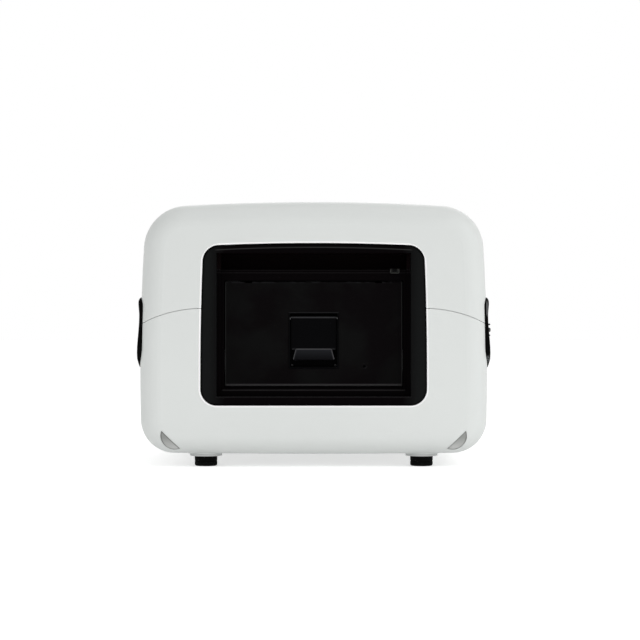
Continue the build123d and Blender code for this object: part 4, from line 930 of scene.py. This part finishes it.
# %% Inlet blades
low, high, _ = box_of("mains_inlet")
inlet_x, port_z, mouth = (low[0] + high[0]) / 2, (low[2] + high[2]) / 2, high[1]
PIN_HALF_WIDTH, PIN_HALF_HEIGHT, PIN_LENGTH, PIN_TIP = 1.1, 2.6, 15, mouth - 6.7
PIN_PLACES = ((-5.65, -1.95), (0.0, 1.95), (5.65, -1.95))
pins = [soft_block((inlet_x + x - PIN_HALF_WIDTH, PIN_TIP - PIN_LENGTH, port_z + z - PIN_HALF_HEIGHT),
                   (inlet_x + x + PIN_HALF_WIDTH, PIN_TIP, port_z + z + PIN_HALF_HEIGHT), 0.7, 0.6, "y")
        for x, z in PIN_PLACES]
knit("inlet_blades", pins, "port_shell", "casing")

# %% Socket contacts
_, _, middle = box_of("data_ports")
PORT_APART, PORT_FLOOR = 10.0, mouth - 11.5
serial_x, network_x = middle[0] - PORT_APART, middle[0] + PORT_APART
GOLD_WIRES, WIRE_PITCH, GOLD_WIRE, WIRE_BEND = 8, 1.1, 0.25, 1.5
wires = []
for k in range(GOLD_WIRES):
    x = network_x + (k - (GOLD_WIRES - 1) / 2) * WIRE_PITCH
    slope = [(x, mouth - 2.0, port_z + 5.4), (x, mouth - 4.5, port_z + 2.4), (x, mouth - 11.0, port_z - 1.0)]
    wires.append(tube(eased(slope, WIRE_BEND), GOLD_WIRE, up=(1, 0, 0), count=6))
PIN_CIRCLE, ROUND_PIN, ROUND_PIN_TIP = 3.0, 0.45, mouth - 5.0
for b in np.radians([-60, 0, 60, 120, 180, 240]):
    x, z = serial_x + PIN_CIRCLE * np.sin(b), port_z + PIN_CIRCLE * np.cos(b)
    wires.append(tube([(x, PORT_FLOOR, z), (x, ROUND_PIN_TIP, z)], ROUND_PIN, count=8))
knit("socket_contacts", wires, "standoff_brass", "casing")
RING_INSIDE, RING_OUTSIDE, RING_FRONT = 4.6, 5.3, mouth - 1.0
ring = eased([(RING_INSIDE, PORT_FLOOR), (RING_OUTSIDE, PORT_FLOOR), (RING_OUTSIDE, RING_FRONT),
              (RING_INSIDE, RING_FRONT), (RING_INSIDE, PORT_FLOOR)], 0.3)
knit("serial_ring", [turned(ring, (serial_x, 0, port_z), "y", 48)], "port_shell", "casing")

# %% Rocker
_, high, middle = box_of("switch_frame")
PIVOT, ROCKER_WIDE, ROCKER_TALL, SAG, TILT = 1.0, 10.0, 15.4, 0.54, 8.0
pivot = np.array([middle[0], high[1] - PIVOT, port_z])


def rocker_face(z):
    return PIVOT - SAG * (1 - abs(z) / (ROCKER_TALL / 2))


profile = eased([(5.0, -3.0), (0, -1.75), (0, PIVOT), (2.5, PIVOT), (5.0, PIVOT)], 0.6, 6)
body = slab(ROCKER_WIDE, ROCKER_TALL, 0.9, profile, (0, 0, 0), "y", between=6)
y, z = body[..., 1], body[..., 2]
body[..., 1] = np.where(y > 0, y + rocker_face(z) - PIVOT, y)
a = np.linspace(0, 2 * np.pi, 33)[:-1]
RING_PLACE, RING_RADIUS, BAR_TOP, BAR_LOW, AXLE, AXLE_HALF = 4.0, 1.5, -2.4, -5.6, 0.95, 6.2
ring = [RING_RADIUS * np.cos(a), rocker_face(RING_PLACE) + 0 * a, RING_PLACE + RING_RADIUS * np.sin(a)]
ring = np.stack(ring, -1)
bar = [(0, rocker_face(z), z) for z in (BAR_TOP, BAR_LOW)]
axle = turned([(0, -AXLE_HALF), (AXLE, -AXLE_HALF), (AXLE, AXLE_HALF), (0, AXLE_HALF)], (0, 0, 0), "x", 20)
cap = [pivot + spun(g, 0, "x", TILT) for g in (body, axle)]
knit("rocker_cap", cap, "rocker_plastic", "rocker", "power_rocker")
marks = (tube(ring, 0.22, up=(0, 1, 0), count=6, closed=True), tube(bar, 0.25, up=(0, 1, 0), count=6))
knit("rocker_marks", [pivot + spun(g, 0, "x", TILT) for g in marks], "white_casing", "rocker")

print(len(made), "new pieces,", sum(count for _, count in made), "triangles")

# %% [markdown]
# ## Studio
#
# The photograph has a white ground, very soft light and no hard shadow. Large lamps above, in front, at the
# sides, behind and low over the floor give that. The world and the floor get their full white only for
# camera, gloss and glass rays. For all other rays the floor keeps a faint, even glow, as a light table has,
# so that the casing's lower edges don't fall dark.

# %% Lamps, floor and world
def lamp(name, place, aim, width, height, power):
    """A soft box: a rectangle of light at a place, turned towards a point."""
    data = bpy.data.lights.new(name, "AREA")
    data.shape = "RECTANGLE"
    data.size, data.size_y, data.energy = width, height, power
    item = bpy.data.objects.new(name, data)
    direction = np.array(aim) - np.array(place)
    item.location = place
    item.rotation_euler = Vector(direction).to_track_quat("-Z", "Y").to_euler()
    item.visible_camera = False
    bpy.context.scene.collection.objects.link(item)
    return item


middle = (0.0, 0.0, 0.13)
lamp("key", (1.3, -1.4, 1.4), middle, 1.4, 1.0, 8)
lamp("fill", (-1.4, -1.2, 0.9), middle, 1.2, 1.2, 0.8)
lamp("side", (1.8, -0.5, 0.6), middle, 1.0, 0.8, 2.6)
lamp("top", (0.2, -0.2, 1.6), middle, 1.2, 0.8, 2.4)
lamp("front", (0.0, -2.6, 0.9), middle, 1.6, 1.0, 2.5)
lamp("bounce", (0.0, -0.55, 0.005), (0.0, -0.55, 1.0), 1.2, 0.76, 1.1)
lamp("rear", (0.3, 1.8, 1.3), middle, 1.6, 1.0, 5)


def seen_directly(f):
    """1 for rays that look at the surface itself or at its mirror image."""
    rays = f.add("ShaderNodeLightPath").socket.node
    straight, gloss, glass = (Field(f, rays.outputs[k]) for k in
                              ("Is Camera Ray", "Is Glossy Ray", "Is Transmission Ray"))
    return straight.most(gloss).most(glass)


world = bpy.data.worlds.new("studio")
world.use_nodes = True
bpy.context.scene.world = world
sky = world.node_tree
sky.nodes.clear()


class Sky(Finish):
    """The world's nodes, with the same method for adding them."""

    def __init__(self, tree):
        self.tree = tree


WORLD_LIGHT, FLOOR_GLOW, FLOOR_SEEN = 0.54, 0.12, 0.42
air = Sky(sky)
strength = air.add("ShaderNodeMath", {"operation": "MULTIPLY_ADD"},
                   {0: seen_directly(air), 1: 1 - WORLD_LIGHT, 2: WORLD_LIGHT})
light = air.add("ShaderNodeBackground", values={"Color": (1.0, 1.0, 1.0, 1.0), "Strength": strength})
result = sky.nodes.new("ShaderNodeOutputWorld")
sky.links.new(light.socket, result.inputs["Surface"])

ground = Finish("ground", (0.86, 0.86, 0.86), 0.9)
shine = seen_directly(ground) * FLOOR_SEEN + FLOOR_GLOW
glow = ground.add("ShaderNodeEmission", values={"Color": (1.0, 1.0, 1.0, 1.0), "Strength": shine})
total = ground.add("ShaderNodeAddShader", values={0: Field(ground, ground.shader.outputs["BSDF"]), 1: glow})
ground.tree.links.new(total.socket, ground.output.inputs["Surface"])

FLOOR = 12.0
mesh = bpy.data.meshes.new("floor")
corners = [(-FLOOR, -FLOOR, 0), (FLOOR, -FLOOR, 0), (FLOOR, FLOOR, 0), (-FLOOR, FLOOR, 0)]
mesh.from_pydata(corners, [], [(0, 1, 2, 3)])
mesh.materials.append(ground.material)
floor = bpy.data.objects.new("floor", mesh)
bpy.context.scene.collection.objects.link(floor)
